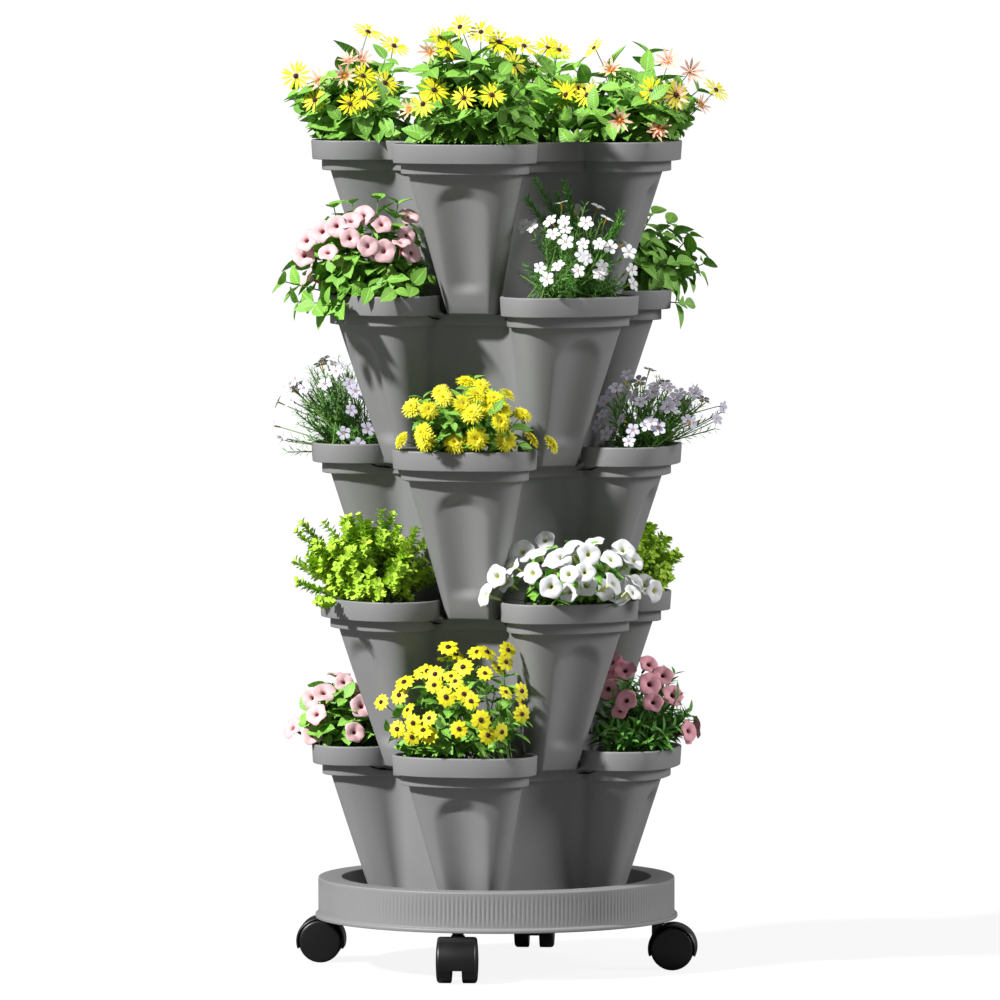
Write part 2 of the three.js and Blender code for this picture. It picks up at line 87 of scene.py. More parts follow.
class PlanterSizes(bpy.types.PropertyGroup):
    """Sizes of one planter, in its own frame with its foot at height 0."""

    lobe_radius: length("Lobe radius", "Axis to the widest place of a lobe at the rim", 126)
    rim_half_width: length("Rim half width", "Half the width of a lobe at the rim", 67)
    rim_reach: length("Rim reach", "Widest place to the front of the rim", 46)
    rim_web_depth: length("Web depth", "Web behind the line through two widest places", 35.5)
    rim_turn: turn("Rim turn", "How far the rim's sides turn inwards", 45)
    rim_corner: length("Rim corner", "Radius of the hollow corner at the rim", 6)
    rim_squareness: share("Rim squareness", "Exponent of the rim's superellipse", 2.4)
    rim_height: length("Rim height", "Height of the rim band", 18)
    rim_wall: length("Rim wall", "Thickness of the rim", 3.8)
    rim_draft: length("Rim draft", "How much narrower the rim is at its lower edge", 1)
    rim_step_side: length("Rim step at the sides", "Rim to second band", 8)
    rim_step_front: length("Rim step in front", "Rim to second band", 10)
    band_height: length("Band height", "Height of the second band", 10)
    band_step_side: length("Band step at the sides", "Second band to body", 6.5)
    band_step_front: length("Band step in front", "Second band to body", 8)
    body_turn: turn("Body turn", "How far the body's sides turn inwards", 30)
    body_corner: length("Body corner", "Hollow corner at the top of the body", 20)
    foot_radius: length("Foot radius", "Axis to the widest place of a lobe at the foot", 90)
    foot_half_width: length("Foot half width", "Half the width of a lobe at the foot", 23.25)
    foot_reach: length("Foot reach", "Widest place to the front of the foot", 22)
    foot_web_depth: length("Foot web depth", "Web behind the line through two widest places", 8)
    foot_corner: length("Foot corner", "Hollow corner at the foot", 8)
    foot_squareness: share("Foot squareness", "Exponent of the foot's superellipse", 3.4)
    foot_height: length("Foot height", "Plain foot below the flute", 17.5)
    wall: length("Wall", "Thickness of the body's wall", 2.5)
    flute_depth: length("Flute depth", "Depth of the flute in each lobe's face", 4.5)
    flute_foot_half_width: length("Flute width at the foot", "Half the flute's width", 18)
    flute_top_half_width: length("Flute width at the top", "Half the flute's width", 28)
    flute_top: length("Flute top", "Height of the top of the flute's arch", 121)
    flute_arch: length("Flute arch", "How much lower the flute ends at its sides", 25)
    flute_blend: length("Flute blend", "Height in which the flute's two ends fade", 13)
    edge_radius: length("Edge radius", "Rounding of the bands' lower edges", 0.9)
    rim_edge_radius: length("Rim edge radius", "Rounding of the rim's top", 1.5)
    foot_edge_radius: length("Foot edge radius", "Rounding under the foot", 2)
    notch_half_width: length("Notch half width", "Half a notch between two lobes", 30)
    notch_corner: length("Notch corner", "Rounding of the notches and ledges", 6)
    ledge_depth: length("Ledge depth", "How far a ledge reaches inwards", 24)
    ledge_thickness: length("Ledge thickness", "Thickness of a ledge", 3)
    soil_gap: length("Soil gap", "Between the soil and the planter", 0.3)
    soil_drop: length("Soil drop", "Rim to the soil in a pocket", 9)
    lump_width: length("Lump width", "From one lump of the soil's top to the next", 9)
    lump_height: length("Lump height", "Height of the soil's lumps", 1.1)
    crumb_width: length("Crumb width", "From one crumb of the soil's top to the next", 3)
    crumb_height: length("Crumb height", "Height of the soil's crumbs", 0.6)
    soil_sag: length("Soil sag", "How much lower the soil's top lies between its lumps", 0.4)
    brim_drop: length("Brim drop", "How much lower the soil lies where it meets the wall", 1.5)


class TraySizes(bpy.types.PropertyGroup):
    """Sizes of the rolling tray, with heights above the floor."""

    ring_inner_radius: length("Ring inside", "Radius inside the hollow ring", 143)
    wall: length("Wall", "Thickness of the ring's walls", 2.5)
    floor: length("Tray floor", "Thickness of the floor", 2.5)
    lip_width: length("Lip width", "How far the lip stands out", 2.8)
    lip_height: length("Lip height", "Height of the lip", 4)
    edge_radius: length("Edge radius", "Rounding of the ring's edges", 1.4)
    rib_depth: length("Rib depth", "Height of the fine ribs", 0.55)
    rib_margin: length("Rib margin", "Plain stretch above and below the ribs", 1.6)
    ribs: IntProperty(name="Ribs", description="Fine ribs round the ring", default=254)
    socket_wall: length("Socket wall", "Wall round a caster's stem", 4)


class CasterSizes(bpy.types.PropertyGroup):
    """Sizes of a twin-wheel swivel caster."""

    wheel_radius: length("Wheel radius", "Radius of each wheel", 20)
    wheel_width: length("Wheel width", "Width of each wheel", 13.4)
    wheel_gap: length("Wheel gap", "Between the two wheels", 10.2)
    wheel_bevel: length("Wheel bevel", "Rounding of the wheel's outer edge", 3)
    wheel_dome: length("Wheel dome", "How far the wheel's face bulges", 0.8)
    wheel_clearance: length("Wheel clearance", "Wheel to hood", 0.9)
    hood_wall: length("Hood wall", "Thickness of the hood", 1.6)
    hood_width: length("Hood width", "Width of the hood", 36.6)
    hood_drop: length("Hood drop", "Hood's lower edge below the axle", 7)
    web_clearance: length("Web clearance", "Middle web to each wheel", 0.4)
    trail: length("Trail", "Stem's axis to the axle", 13)
    axle_radius: length("Axle radius", "Radius of the axle", 2.5)
    axle_in_wheel: length("Axle in wheel", "How deep the axle reaches into a wheel", 10)
    fit_gap: length("Fit gap", "Radial gap of the axle and stem in their holes", 0.35)
    stem_radius: length("Stem radius", "Radius of the stem in the socket", 4)
    stem_length: length("Stem length", "Length of the stem above the collar", 26)
    collar_radius: length("Collar radius", "Radius of the stem's collar", 5.4)
    pin_radius: length("Pin radius", "Radius of the pin that the hood turns on", 2.5)
    pin_length: length("Pin length", "Length of the pin inside the hood", 17)
    boss_radius: length("Boss radius", "Radius of the hood's boss round the pin", 6.5)
    seat_gap: length("Seat gap", "Between collar and tray, and collar and hood", 0.3)


class PlantSizes(bpy.types.PropertyGroup):
    """Sizes of the plants' organs."""

    daisy_radius: length("Daisy radius", "Large daisies of the top planter", 15)
    daisy_leaf: length("Daisy leaf", "Length of the broad leaves of the top planter", 36)
    star_radius: length("Star radius", "Peach stars of the top planter", 14)
    petunia_radius: length("Petunia radius", "Petunia's rim", 10.4)
    petunia_leaf: length("Petunia leaf", "Length of a petunia's leaf", 22)
    phlox_radius: length("Phlox radius", "Five-petalled flowers", 7.4)
    needle: length("Needle", "Length of a phlox's needle", 12)
    mint_leaf: length("Mint leaf", "Length of a mint leaf", 28)
    box_leaf: length("Box leaf", "Length of a box leaf", 8)
    mum_radius: length("Mum radius", "Dense yellow flowers", 11)
    rudbeckia_radius: length("Rudbeckia radius", "Yellow flowers with dark hearts", 9.6)
    stem_radius: length("Stem radius", "Radius of a plant's stem", 0.75)


class PlantColours(bpy.types.PropertyGroup):
    """Colours of leaves, petals and hearts."""

    # shade_leaf, box_shade and dark_needle are partly painted shade and partly the deeper green of older and
    # inner leaves and of rosemary; bright_leaf, lime_leaf and needle_leaf are the tones of lit leaves
    shade_leaf: colour("Shaded leaf", "Older leaves", (0.05, 0.2, 0.015))
    bright_leaf: colour("Bright leaf", "Young leaves", (0.3, 0.62, 0.09))
    lime_leaf: colour("Lime leaf", "Tips of box", (0.62, 0.9, 0.06))
    box_shade: colour("Shaded box", "Inner leaves of box", (0.2, 0.5, 0.03))
    needle_leaf: colour("Needle leaf", "Needles of phlox", (0.13, 0.38, 0.05))
    dark_needle: colour("Dark needle", "Rosemary and shaded needles", (0.03, 0.14, 0.02))
    stem_green: colour("Stem green", "Stems", (0.16, 0.3, 0.06))
    yellow: colour("Yellow", "Daisies", (0.88, 0.82, 0.012))
    deep_yellow: colour("Deep yellow", "Foot of yellow petals", (0.85, 0.55, 0.01))
    pink: colour("Pink", "Light petunias", (0.86, 0.55, 0.57))
    throat: colour("Throat", "Petunia's throat", (0.4, 0.07, 0.09))
    rose: colour("Rose", "Darker petunias", (0.9, 0.4, 0.48))
    rose_throat: colour("Rose throat", "Darker petunia's throat", (0.08, 0.004, 0.02))
    white: colour("White", "White petals", (0.82, 0.83, 0.84))
    green_throat: colour("Green throat", "White petunia's throat", (0.62, 0.66, 0.22))
    lilac: colour("Lilac", "Lilac phlox", (0.76, 0.74, 0.9))
    lilac_throat: colour("Lilac throat", "Foot of phlox petals", (0.55, 0.4, 0.6))
    peach: colour("Peach", "Peach stars", (0.98, 0.6, 0.42))
    peach_throat: colour("Peach throat", "Foot of peach petals", (0.75, 0.12, 0.03))
    brown_heart: colour("Brown heart", "Hearts of daisies", (0.035, 0.008, 0.01))
    orange_heart: colour("Orange heart", "Hearts of stars and mums", (0.7, 0.35, 0.01))


class FinishColours(bpy.types.PropertyGroup):
    """Colours of the finishes."""

    plastic: colour("Grey plastic", "Planters and tray", (0.24, 0.24, 0.2405))
    black: colour("Black plastic", "Casters", (0.004, 0.004, 0.0044))
    steel: colour("Steel", "Axles", (0.5, 0.5, 0.51))
    earth: colour("Soil", "Potting soil", (0.022, 0.014, 0.009))
    perlite: colour("Perlite", "White grains in the soil", (0.42, 0.4, 0.36))
    floor: colour("Floor", "Floor as it lights the tower", (0.16, 0.16, 0.16))
    seen_floor: colour("Seen floor", "Floor as the camera sees it", (0.9, 0.9, 0.9))


class StageSizes(bpy.types.PropertyGroup):
    """Camera, light and floor."""

    camera_turn: turn("Camera turn", "Camera to the right of the front", 13.2)
    camera_distance: length("Camera distance", "From the axis", 10200)
    camera_height: length("Camera height", "Above the floor", 1050)
    aim_height: length("Aim height", "Height on the axis in the middle of the picture", 432.3)
    aim_side: length("Aim side", "To the right of the axis", 3.3)
    picture_width: length("Picture width", "Width of the picture at the axis", 926)
    key_turn: turn("Key turn", "Key light to the left of the front", 43)
    key_rise: turn("Key rise", "Key light above the horizon", 38)
    key_strength: share("Key strength", "Strength of the key light", 5.4)
    key_softness: turn("Key softness", "Apparent width of the key light", 4)
    side_turn: turn("Side turn", "Side light to the right of the front", 98)
    side_rise: turn("Side rise", "Side light above the horizon", 25)
    side_strength: share("Side strength", "Strength of the side light", 2.0)
    side_softness: turn("Side softness", "Apparent width of the side light", 22)
    fill_strength: share("Fill strength", "Strength of the even light from all sides", 0.15)
    floor_reach: length("Floor reach", "From the axis to each edge of the floor", 200000)
    view_reach: length("View reach", "How far the camera sees", 1000000)
    white_share: share("White share", "How much of the seen floor is plain white", 0.9)


# Shapes.


def mixed(low, high, part):
    """The value a share of the way from low to high."""
    return low + (high - low) * part


def smooth(low, high, value):
    """0 below low, 1 above high, and 3s^2 - 2s^3 of the share s between them."""
    part = np.clip((value - low) / (high - low), 0, 1)
    return part * part * (3 - 2 * part)


def waves(points, scale, seed, count=24):
    """Smooth noise between about -1 and 1: the mean of many sines of random direction, wavelength
    near scale and random phase, over points of any number of axes."""
    random = np.random.default_rng(seed)
    direction = random.normal(size=(points.shape[-1], count))
    direction /= np.linalg.norm(direction, axis=0)
    pace = 2 * math.pi / scale * random.uniform(0.5, 2, count)
    phase = random.uniform(0, 2 * math.pi, count)
    return np.sin(points @ direction * pace + phase).sum(-1) * math.sqrt(2 / count)


def round_angles(count):
    """Evenly spaced angles of a full turn."""
    return 2 * math.pi * np.arange(count) / count


def polar(radius, angle, height=0.0):
    """The points (radius cos a, radius sin a, height)."""
    flat = radius * np.cos(angle)
    return np.stack([flat, radius * np.sin(angle), height + 0 * flat], -1)


def arc(middle, radius, first, last, count=6):
    """Points on an arc from one angle to another, in degrees."""
    angle = np.radians(np.linspace(first, last, count))
    return (polar(radius, angle)[:, :2] + middle).tolist()


def turn_matrix(angle):
    """The matrix that turns a column vector anticlockwise about Z."""
    cosine, sine = math.cos(angle), math.sin(angle)
    return np.array([[cosine, -sine, 0], [sine, cosine, 0], [0, 0, 1]])


def turned_about_z(points, angle):
    """The points turned anticlockwise about the tower's axis."""
    return points @ turn_matrix(angle).T


class Surface:
    """Closed forms collected into one mesh, with the material of each face and the value
    (along, across, chance) of each vertex."""

    def __init__(self):
        self.points, self.values, self.faces = [], [], {3: [], 4: []}
        self.finishes = {3: [], 4: []}
        self.count = 0

    def add(self, points, faces, finish=0, values=None):
        """Adds vertices and arrays of faces of three or four corners. finish is one number or
        one for each face array."""
        points = np.asarray(points, float).reshape(-1, 3)
        for corners in faces:
            corners = np.asarray(corners)
            if len(corners):
                size = corners.shape[1]
                self.faces[size].append(corners + self.count)
                self.finishes[size].append(np.full(len(corners), finish))
        self.points.append(points)
        self.values.append(np.zeros((len(points), 3)) if values is None else values.reshape(-1, 3))
        self.count += len(points)

    def scatter(self, form, places, matrices, chances, pocket=None, held=False):
        """Adds copies of a form, each moved to a place with its own matrix, whose columns are the
        form's axes. A pocket moves the copies clear of its walls and holds them over its rim.
        The chances become the third value of every copy's vertices."""
        points = np.concatenate(form.points)
        moved = np.einsum("pc,nac->npa", points, matrices) + places[:, None]
        if pocket is not None:
            moved = pocket.settle(moved, held)
        values = np.repeat(np.concatenate(form.values)[None], len(places), 0)
        values[..., 2] = chances[:, None]
        steps = self.count + np.arange(len(places))[:, None, None] * len(points)
        for size in (3, 4):
            if form.faces[size]:
                corners = np.concatenate(form.faces[size])
                self.faces[size].append((corners + steps).reshape(-1, size))
                self.finishes[size].append(np.tile(np.concatenate(form.finishes[size]), len(places)))
        self.points.append(moved.reshape(-1, 3))
        self.values.append(values.reshape(-1, 3))
        self.count += len(places) * len(points)

    def ring_grid(self, rows, start=None, end=None, finish=0):
        """Adds a skin through rows of rings. The rings run anticlockwise seen from the side that
        the rows run to. start and end are the points that close the first and last ring, and
        without them the last row is joined to the first."""
        count, columns = rows.shape[:2]
        lines = count if start is None else count - 1
        here = np.arange(columns)
        following = np.roll(here, -1)
        low = np.arange(lines)[:, None] * columns
        high = (np.arange(lines)[:, None] + 1) % count * columns
        quads = np.stack([low + here, low + following, high + following, high + here], -1)
        points = rows.reshape(-1, 3)
        fans = []
        if start is not None:
            points = np.concatenate([points, [start, end]])
            first = np.full(columns, count * columns)
            top = (count - 1) * columns
            fans.append(np.stack([first, following, here], -1))
            fans.append(np.stack([first + 1, top + here, top + following], -1))
        self.add(points, [quads.reshape(-1, 4), *fans], finish)

    def lathe(self, profile, columns, swell=0.0, finish=0, matrix=np.eye(3), origin=(0, 0, 0)):
        """Adds a profile of (radius, height) points turned about the Z axis. A profile that starts
        and ends on the axis is closed there by poles, and any other one is closed on itself.
        swell adds to the radius, one value for each point and column. The matrix turns the result
        about the axis' foot, which then moves to the origin."""
        profile = np.asarray(profile, float)
        poles = profile[0, 0] == 0
        body = profile[1:-1] if poles else profile
        rows = polar(body[:, :1] + swell, round_angles(columns), body[:, 1:])
        ends = [matrix @ (0, 0, profile[end, 1]) + origin for end in (0, -1)] if poles else ()
        self.ring_grid(rows @ matrix.T + origin, *ends, finish=finish)

    def include(self, form):
        """Adds one copy of a form where it is."""
        self.scatter(form, np.zeros((1, 3)), np.eye(3)[None], np.zeros(1))

    def mesh(self, name):
        """The collected forms as a Blender mesh."""
        points = np.concatenate(self.points)
        groups = [(size, np.concatenate(self.faces[size]), np.concatenate(self.finishes[size]))
                  for size in (3, 4) if self.faces[size]]
        corners = np.concatenate([faces.ravel() for _, faces, _ in groups])
        sizes = np.concatenate([np.full(len(faces), size) for size, faces, _ in groups])
        starts = np.concatenate([[0], np.cumsum(sizes)[:-1]])
        mesh = bpy.data.meshes.new(name)
        mesh.vertices.add(len(points))
        mesh.vertices.foreach_set("co", points.ravel())
        mesh.loops.add(len(corners))
        mesh.loops.foreach_set("vertex_index", corners.astype(np.int32))
        mesh.polygons.add(len(starts))
        mesh.polygons.foreach_set("loop_start", starts.astype(np.int32))
        mesh.update(calc_edges=True)
        finishes = np.concatenate([finish for _, _, finish in groups])
        mesh.polygons.foreach_set("material_index", finishes.astype(np.int32))
        values = mesh.attributes.new("leaf", "FLOAT_VECTOR", "POINT")
        values.data.foreach_set("vector", np.concatenate(self.values).ravel())
        return mesh


def linked(name, data):
    """A new object in the scene."""
    made = bpy.data.objects.new(name, data)
    bpy.context.scene.collection.objects.link(made)
    return made


def placed(mesh, body, finishes, nodes=(), crease=math.radians(32)):
    """Puts a mesh into the scene as a finished piece of the same name that rides on a body and
    stands for CAD nodes. Edges that turn by more than crease stay sharp."""
    piece = linked(mesh.name, mesh)
    for finish in finishes:
        mesh.materials.append(finish)
    mesh.polygons.foreach_set("use_smooth", np.ones(len(mesh.polygons), bool))
    mesh.set_sharp_from_angle(angle=crease)
    mesh.update()
    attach(piece, body)
    if nodes:
        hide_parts(*nodes)


# The planters.


class Section:
    """The sizes of a planter's outline at one level, or at many levels as columns."""

    def __init__(self, **sizes):
        self.__dict__.update(sizes)

    def mixed(self, other, part):
        """The section a share of the way to another one."""
        names = vars(self)
        return Section(**{name: mixed(names[name], getattr(other, name), part) for name in names})

    def stepped(self, side, front, **changes):
        """The section drawn in by side at the sides and webs and by front in front."""
        sizes = dict(vars(self), half_width=self.half_width - side, reach=self.reach - front,
                     web=self.web - side)
        return Section(**{**sizes, **changes})

    def narrowed(self, inset):
        """The section that runs at the same distance behind this one everywhere."""
        return self.stepped(inset, inset, corner=self.corner + inset)

    @staticmethod
    def column(sections):
        """Many sections as one whose sizes are columns."""
        names = vars(sections[0])
        return Section(**{name: np.array([[getattr(one, name)] for one in sections]) for name in names})


def web_radius(centre, half_width, depth):
    """Axis to a web that lies depth behind the line through two lobes' widest places."""
    return centre * math.cos(HALF_LOBE) + half_width * math.sin(HALF_LOBE) - depth


def planter_sections(sizes):
    """The sections of the foot, the top of the body, the second band and the rim's two edges."""
    foot = Section(
        centre=sizes.foot_radius, half_width=sizes.foot_half_width, reach=sizes.foot_reach,
        squareness=sizes.foot_squareness, face=sizes.flute_foot_half_width,
        web=web_radius(sizes.foot_radius, sizes.foot_half_width, sizes.foot_web_depth),
        turn=sizes.body_turn, corner=sizes.foot_corner)
    rim = Section(
        centre=sizes.lobe_radius, half_width=sizes.rim_half_width, reach=sizes.rim_reach,
        squareness=sizes.rim_squareness, face=sizes.flute_top_half_width,
        web=web_radius(sizes.lobe_radius, sizes.rim_half_width, sizes.rim_web_depth),
        turn=sizes.rim_turn, corner=sizes.rim_corner)
    band = rim.stepped(sizes.rim_step_side, sizes.rim_step_front)
    body = band.stepped(sizes.band_step_side, sizes.band_step_front,
                        turn=sizes.body_turn, corner=sizes.body_corner)
    rim_bottom = rim.stepped(sizes.rim_draft, sizes.rim_draft)
    return foot, body, band, rim_bottom, rim


FACE_SHARE = 0.95
PLAIN_SHARE = 0.55
SHRINK_SHARE = 0.9
INNER_CIRCLE_SHARE = 0.7
SOIL_CIRCLE_SHARE = 0.6
FACE_COLUMNS = 10
SHOULDER_COLUMNS = 14
SIDE_COLUMNS = 8
CORNER_COLUMNS = 8
WEB_COLUMNS = 4


def half_lobe(section, height, sizes):
    """Half of a lobe's outline at each height, from its middle line, which lies on +X, to the
    middle of the web. The face runs evenly to the flute's edge, which stays inside a share of the
    lobe's half width where the lobe is narrow, with the reach of the
    superellipse (x/reach)^p + (y/half width)^p = 1, or below the flute's arch that of its chord
    less depth (1 - share^2)^2, with share the part of the way to the flute's edge. The shoulder
    follows the superellipse to the widest place, the side turns inwards on an arc that is tangent
    there, a hollow arc leads from it to the web, and the web is straight."""
    centre, half_width = section.centre, section.half_width
    reach, power = section.reach, section.squareness
    face = np.minimum(section.face, half_width * FACE_SHARE)

    def superellipse(side):
        return reach * (1 - np.clip(side / half_width, 0, 1) ** power) ** (1 / power)

    across = np.linspace(0, 1, FACE_COLUMNS)[None]
    arch = sizes.flute_top - sizes.flute_arch * (1 - np.sqrt(1 - across**2))
    fluted = smooth(0, sizes.flute_blend, arch - height)
    foot = sizes.foot_height
    hollow = smooth(foot, foot + sizes.flute_blend, height) * sizes.flute_depth
    chord = superellipse(face) - hollow * (1 - across**2) ** 2
    face_x = centre + mixed(superellipse(across * face), chord, fluted)
    face_y = across * face

    start = np.arcsin((face / half_width) ** (power / 2))
    angle = mixed(start, math.pi / 2, np.linspace(0, 1, SHOULDER_COLUMNS + 1)[None, 1:])
    shoulder_x = centre + reach * np.clip(np.cos(angle), 0, 1) ** (2 / power)
    shoulder_y = half_width * np.sin(angle) ** (2 / power)

    lean = np.sin(HALF_LOBE - section.turn)
    depth = centre * math.cos(HALF_LOBE) + half_width * math.sin(HALF_LOBE) - section.web
    radius = (depth - section.corner * (1 - lean)) / (math.sin(HALF_LOBE) - lean)
    angle = section.turn * np.linspace(0, 1, SIDE_COLUMNS + 1)[None, 1:]
    side_x = centre - radius * np.sin(angle)
    side_y = half_width - radius * (1 - np.cos(angle))

    hollow_x = side_x[:, -1:] - section.corner * np.sin(section.turn)
    hollow_y = side_y[:, -1:] + section.corner * np.cos(section.turn)
    angle = mixed(section.turn, -HALF_LOBE, np.linspace(0, 1, CORNER_COLUMNS + 1)[None, 1:])
    corner_x = hollow_x + section.corner * np.sin(angle)
    corner_y = hollow_y - section.corner * np.cos(angle)

    along = np.linspace(0, 1, WEB_COLUMNS + 1)[None, 1:]
    web_x = mixed(corner_x[:, -1:], section.web * math.cos(HALF_LOBE), along)
    web_y = mixed(corner_y[:, -1:], section.web * math.sin(HALF_LOBE), along)
    return np.stack([
        np.concatenate([face_x, shoulder_x, side_x, corner_x, web_x], 1),
        np.concatenate([face_y + 0 * face_x, shoulder_y, side_y, corner_y, web_y], 1),
    ], -1)


def outlines(rows, sizes):
    """Closed outlines, one for each pair of height and section: half a lobe, mirrored and then
    turned to the front, right, back and left."""
    height = np.array([[row[0]] for row in rows])
    half = half_lobe(Section.column([row[1] for row in rows]), height, sizes)
    lobe = np.concatenate([half[:, :0:-1] * (1, -1), half[:, :-1]], 1)
    flat = np.concatenate([lobe, 0 * lobe[..., :1] + height[..., None]], -1)
    turns = [2 * HALF_LOBE * k - math.pi / 2 for k in range(LOBES)]
    return np.concatenate([turned_about_z(flat, angle) for angle in turns], 1)


def towards_middle(ring, radius, count):
    """Rings that lead from an outline to a circle and then shrink on it: first a straight mix of
    both, then the circle at smaller and smaller radii. The circle's points are evenly spaced."""
    first = math.atan2(ring[0, 1], ring[0, 0])
    circle = polar(radius, first + round_angles(len(ring)), ring[:, 2])
    parts = np.linspace(0, 1, count + 1)[1:, None, None]
    flat = np.array([1, 1, 0])
    return np.concatenate([mixed(ring, circle, parts), circle * (1 - parts * flat * SHRINK_SHARE)])


def quarter(count):
    """Pairs (sine, 1 - cosine) of angles from 0 to a quarter turn."""
    angle = np.linspace(0, math.pi / 2, count)
    return list(zip(np.sin(angle), 1 - np.cos(angle)))


def planter_levels(sizes, pitch):
    """The heights of the body's top, of the second band's and of the rim's."""
    top = pitch + sizes.rim_height - sizes.soil_gap
    ledge = top - sizes.rim_height
    return ledge - sizes.band_height, ledge, top


def planter_rows(sizes, pitch):
    """The rows of a planter's skin as pairs of height and section: up the outside with rounded
    lower edges, over the round rim, and down the inside to the floor."""
    foot, body, band, rim_bottom, rim = planter_sections(sizes)
    band_bottom, ledge, top = planter_levels(sizes, pitch)
    rows = []

    def wall_at(height, inset=0.0):
        rows.append((height, foot.mixed(body, min(height / band_bottom, 1)).narrowed(inset)))

    def lower_edge(height, inner, outer, radius):
        """A step out to a wider section, with its lower edge rounded."""
        rows.append((height, inner.mixed(outer.narrowed(radius), 0.5)))
        for sine, rise in quarter(4):
            rows.append((height + radius * rise, outer.narrowed(radius * (1 - sine))))

    edge = sizes.foot_edge_radius
    for sine, rise in quarter(5):
        wall_at(edge * rise, edge * (1 - sine))
    blend_top = sizes.foot_height + sizes.flute_blend
    arch_low = sizes.flute_top - sizes.flute_arch - sizes.flute_blend
    for height in np.concatenate([
        [sizes.foot_height * PLAIN_SHARE], np.linspace(sizes.foot_height, blend_top, 7),
        np.linspace(blend_top + sizes.wall, arch_low, 12),
        np.linspace(arch_low, sizes.flute_top, 18)[1:], [band_bottom],
    ]):
        wall_at(height)
    lower_edge(band_bottom, body, band, sizes.edge_radius)
    rows.append((ledge, band))
    lower_edge(ledge, band, rim_bottom, sizes.edge_radius)
    round_top = sizes.rim_edge_radius
    rows.append((mixed(ledge, top, 0.5), rim_bottom.mixed(rim, 0.5)))
    for sine, drop in quarter(6):
        rows.append((top - round_top * (1 - sine), rim.narrowed(round_top * drop)))
    for sine, drop in reversed(quarter(6)):
        rows.append((top - round_top * (1 - sine), rim.narrowed(sizes.rim_wall - round_top * drop)))
    wall = sizes.wall
    rows.append((ledge + wall, rim_bottom.narrowed(sizes.rim_wall)))
    for height, section in ((ledge, band), (band_bottom, band), (band_bottom, body)):
        rows.append((height + wall, section.narrowed(wall)))
    for height in np.linspace(band_bottom, wall, 16):
        wall_at(height, wall)
    return rows


def bar(outline, axis, low, high):
    """A closed bar along an axis from low to high, whose section is a convex outline, with its
    points anticlockwise seen from the axis' far end."""
    ends = [np.insert(outline, axis, level, 1) for level in (low, high)]
    surface = Surface()
    surface.ring_grid(np.stack(ends), *(end.mean(0) for end in ends))
    return surface


def notch_outline(sizes, ledge, top):
    """A notch's (across, up) points, with round lower corners and open above the rim."""
    half = sizes.notch_half_width
    corner = sizes.notch_corner
    return np.array([
        *arc((corner - half, ledge + corner), corner, 180, 270, 8),
        *arc((half - corner, ledge + corner), corner, 270, 360, 8),
        (half, top + corner), (-half, top + corner),
    ])


def ledge_outline(sizes, outer, inner):
    """A ledge seen from above, from the web inwards, its two inner corners round."""
    half = sizes.notch_half_width
    corner = sizes.notch_corner
    return np.array([
        (outer, -half), (outer, half),
        *arc((inner + corner, half - corner), corner, 90, 180, 8),
        *arc((inner + corner, corner - half), corner, 180, 270, 8),
    ])


def round_the_webs(surface):
    """Four copies of a form that lies along +X, one on each web."""
    points = np.concatenate(surface.points)
    copies = Surface()
    faces = [np.concatenate(surface.faces[size]) for size in (3, 4) if surface.faces[size]]
    for k in range(LOBES):
        copies.add(turned_about_z(points, HALF_LOBE * (2 * k + 1)), faces)
    return copies


def combined(mesh, steps):
    """The mesh joined with or cut by other meshes, in that order, by Boolean modifiers."""
    base = linked("joined_base", mesh)
    helpers = [base]
    for operation, other in steps:
        helper = linked("joined_helper", other)
        helpers.append(helper)
        modifier = base.modifiers.new(operation, "BOOLEAN")
        modifier.operation = operation
        modifier.object = helper
        modifier.solver = "EXACT"
    bpy.context.view_layer.update()
    evaluated = base.evaluated_get(bpy.context.evaluated_depsgraph_get())
    result = bpy.data.meshes.new_from_object(evaluated)
    for helper in helpers:
        bpy.data.objects.remove(helper)
    return result


def planter_mesh(sizes, pitch, notched):
    """One planter in its own frame, with notches and ledges between the lobes or a whole rim."""
    skin = outlines(planter_rows(sizes, pitch), sizes)
    radius = sizes.foot_radius * INNER_CIRCLE_SHARE
    bottom = towards_middle(skin[0], radius, 4)[::-1]
    inside = towards_middle(skin[-1], radius, 4)
    surface = Surface()
    surface.ring_grid(np.concatenate([bottom, skin, inside]), (0, 0, 0), (0, 0, sizes.wall))
    mesh = surface.mesh("planter")
    if not notched:
        return mesh
    _, ledge, top = planter_levels(sizes, pitch)
    web = planter_sections(sizes)[2].web
    inner = web - sizes.ledge_depth
    shelf = bar(ledge_outline(sizes, web - sizes.wall / 2, inner), 2, ledge - sizes.ledge_thickness, ledge)
    notch = bar(notch_outline(sizes, ledge, top), 0, inner, sizes.lobe_radius + sizes.rim_reach)
    return combined(mesh, [("UNION", round_the_webs(shelf).mesh("ledges")),
                           ("DIFFERENCE", round_the_webs(notch).mesh("notches"))])


def moved_copy(mesh, name, angle, rise):
    """A copy of the mesh, turned about the tower's axis and raised."""
    copy = mesh.copy()
    copy.name = name
    points = np.zeros(len(mesh.vertices) * 3)
    mesh.vertices.foreach_get("co", points)
    points = turned_about_z(points.reshape(-1, 3), angle) + (0, 0, rise)
    copy.vertices.foreach_set("co", points.ravel())
    copy.update()
    return copy


def tier_place(tier):
    """The turn and the foot's height of a tier's planter, and the stack's pitch."""
    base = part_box("tier_1_planter")[0].z
    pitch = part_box("tier_2_planter")[0].z - base
    return (tier - 1) % 2 * HALF_LOBE, base + pitch * (tier - 1), pitch


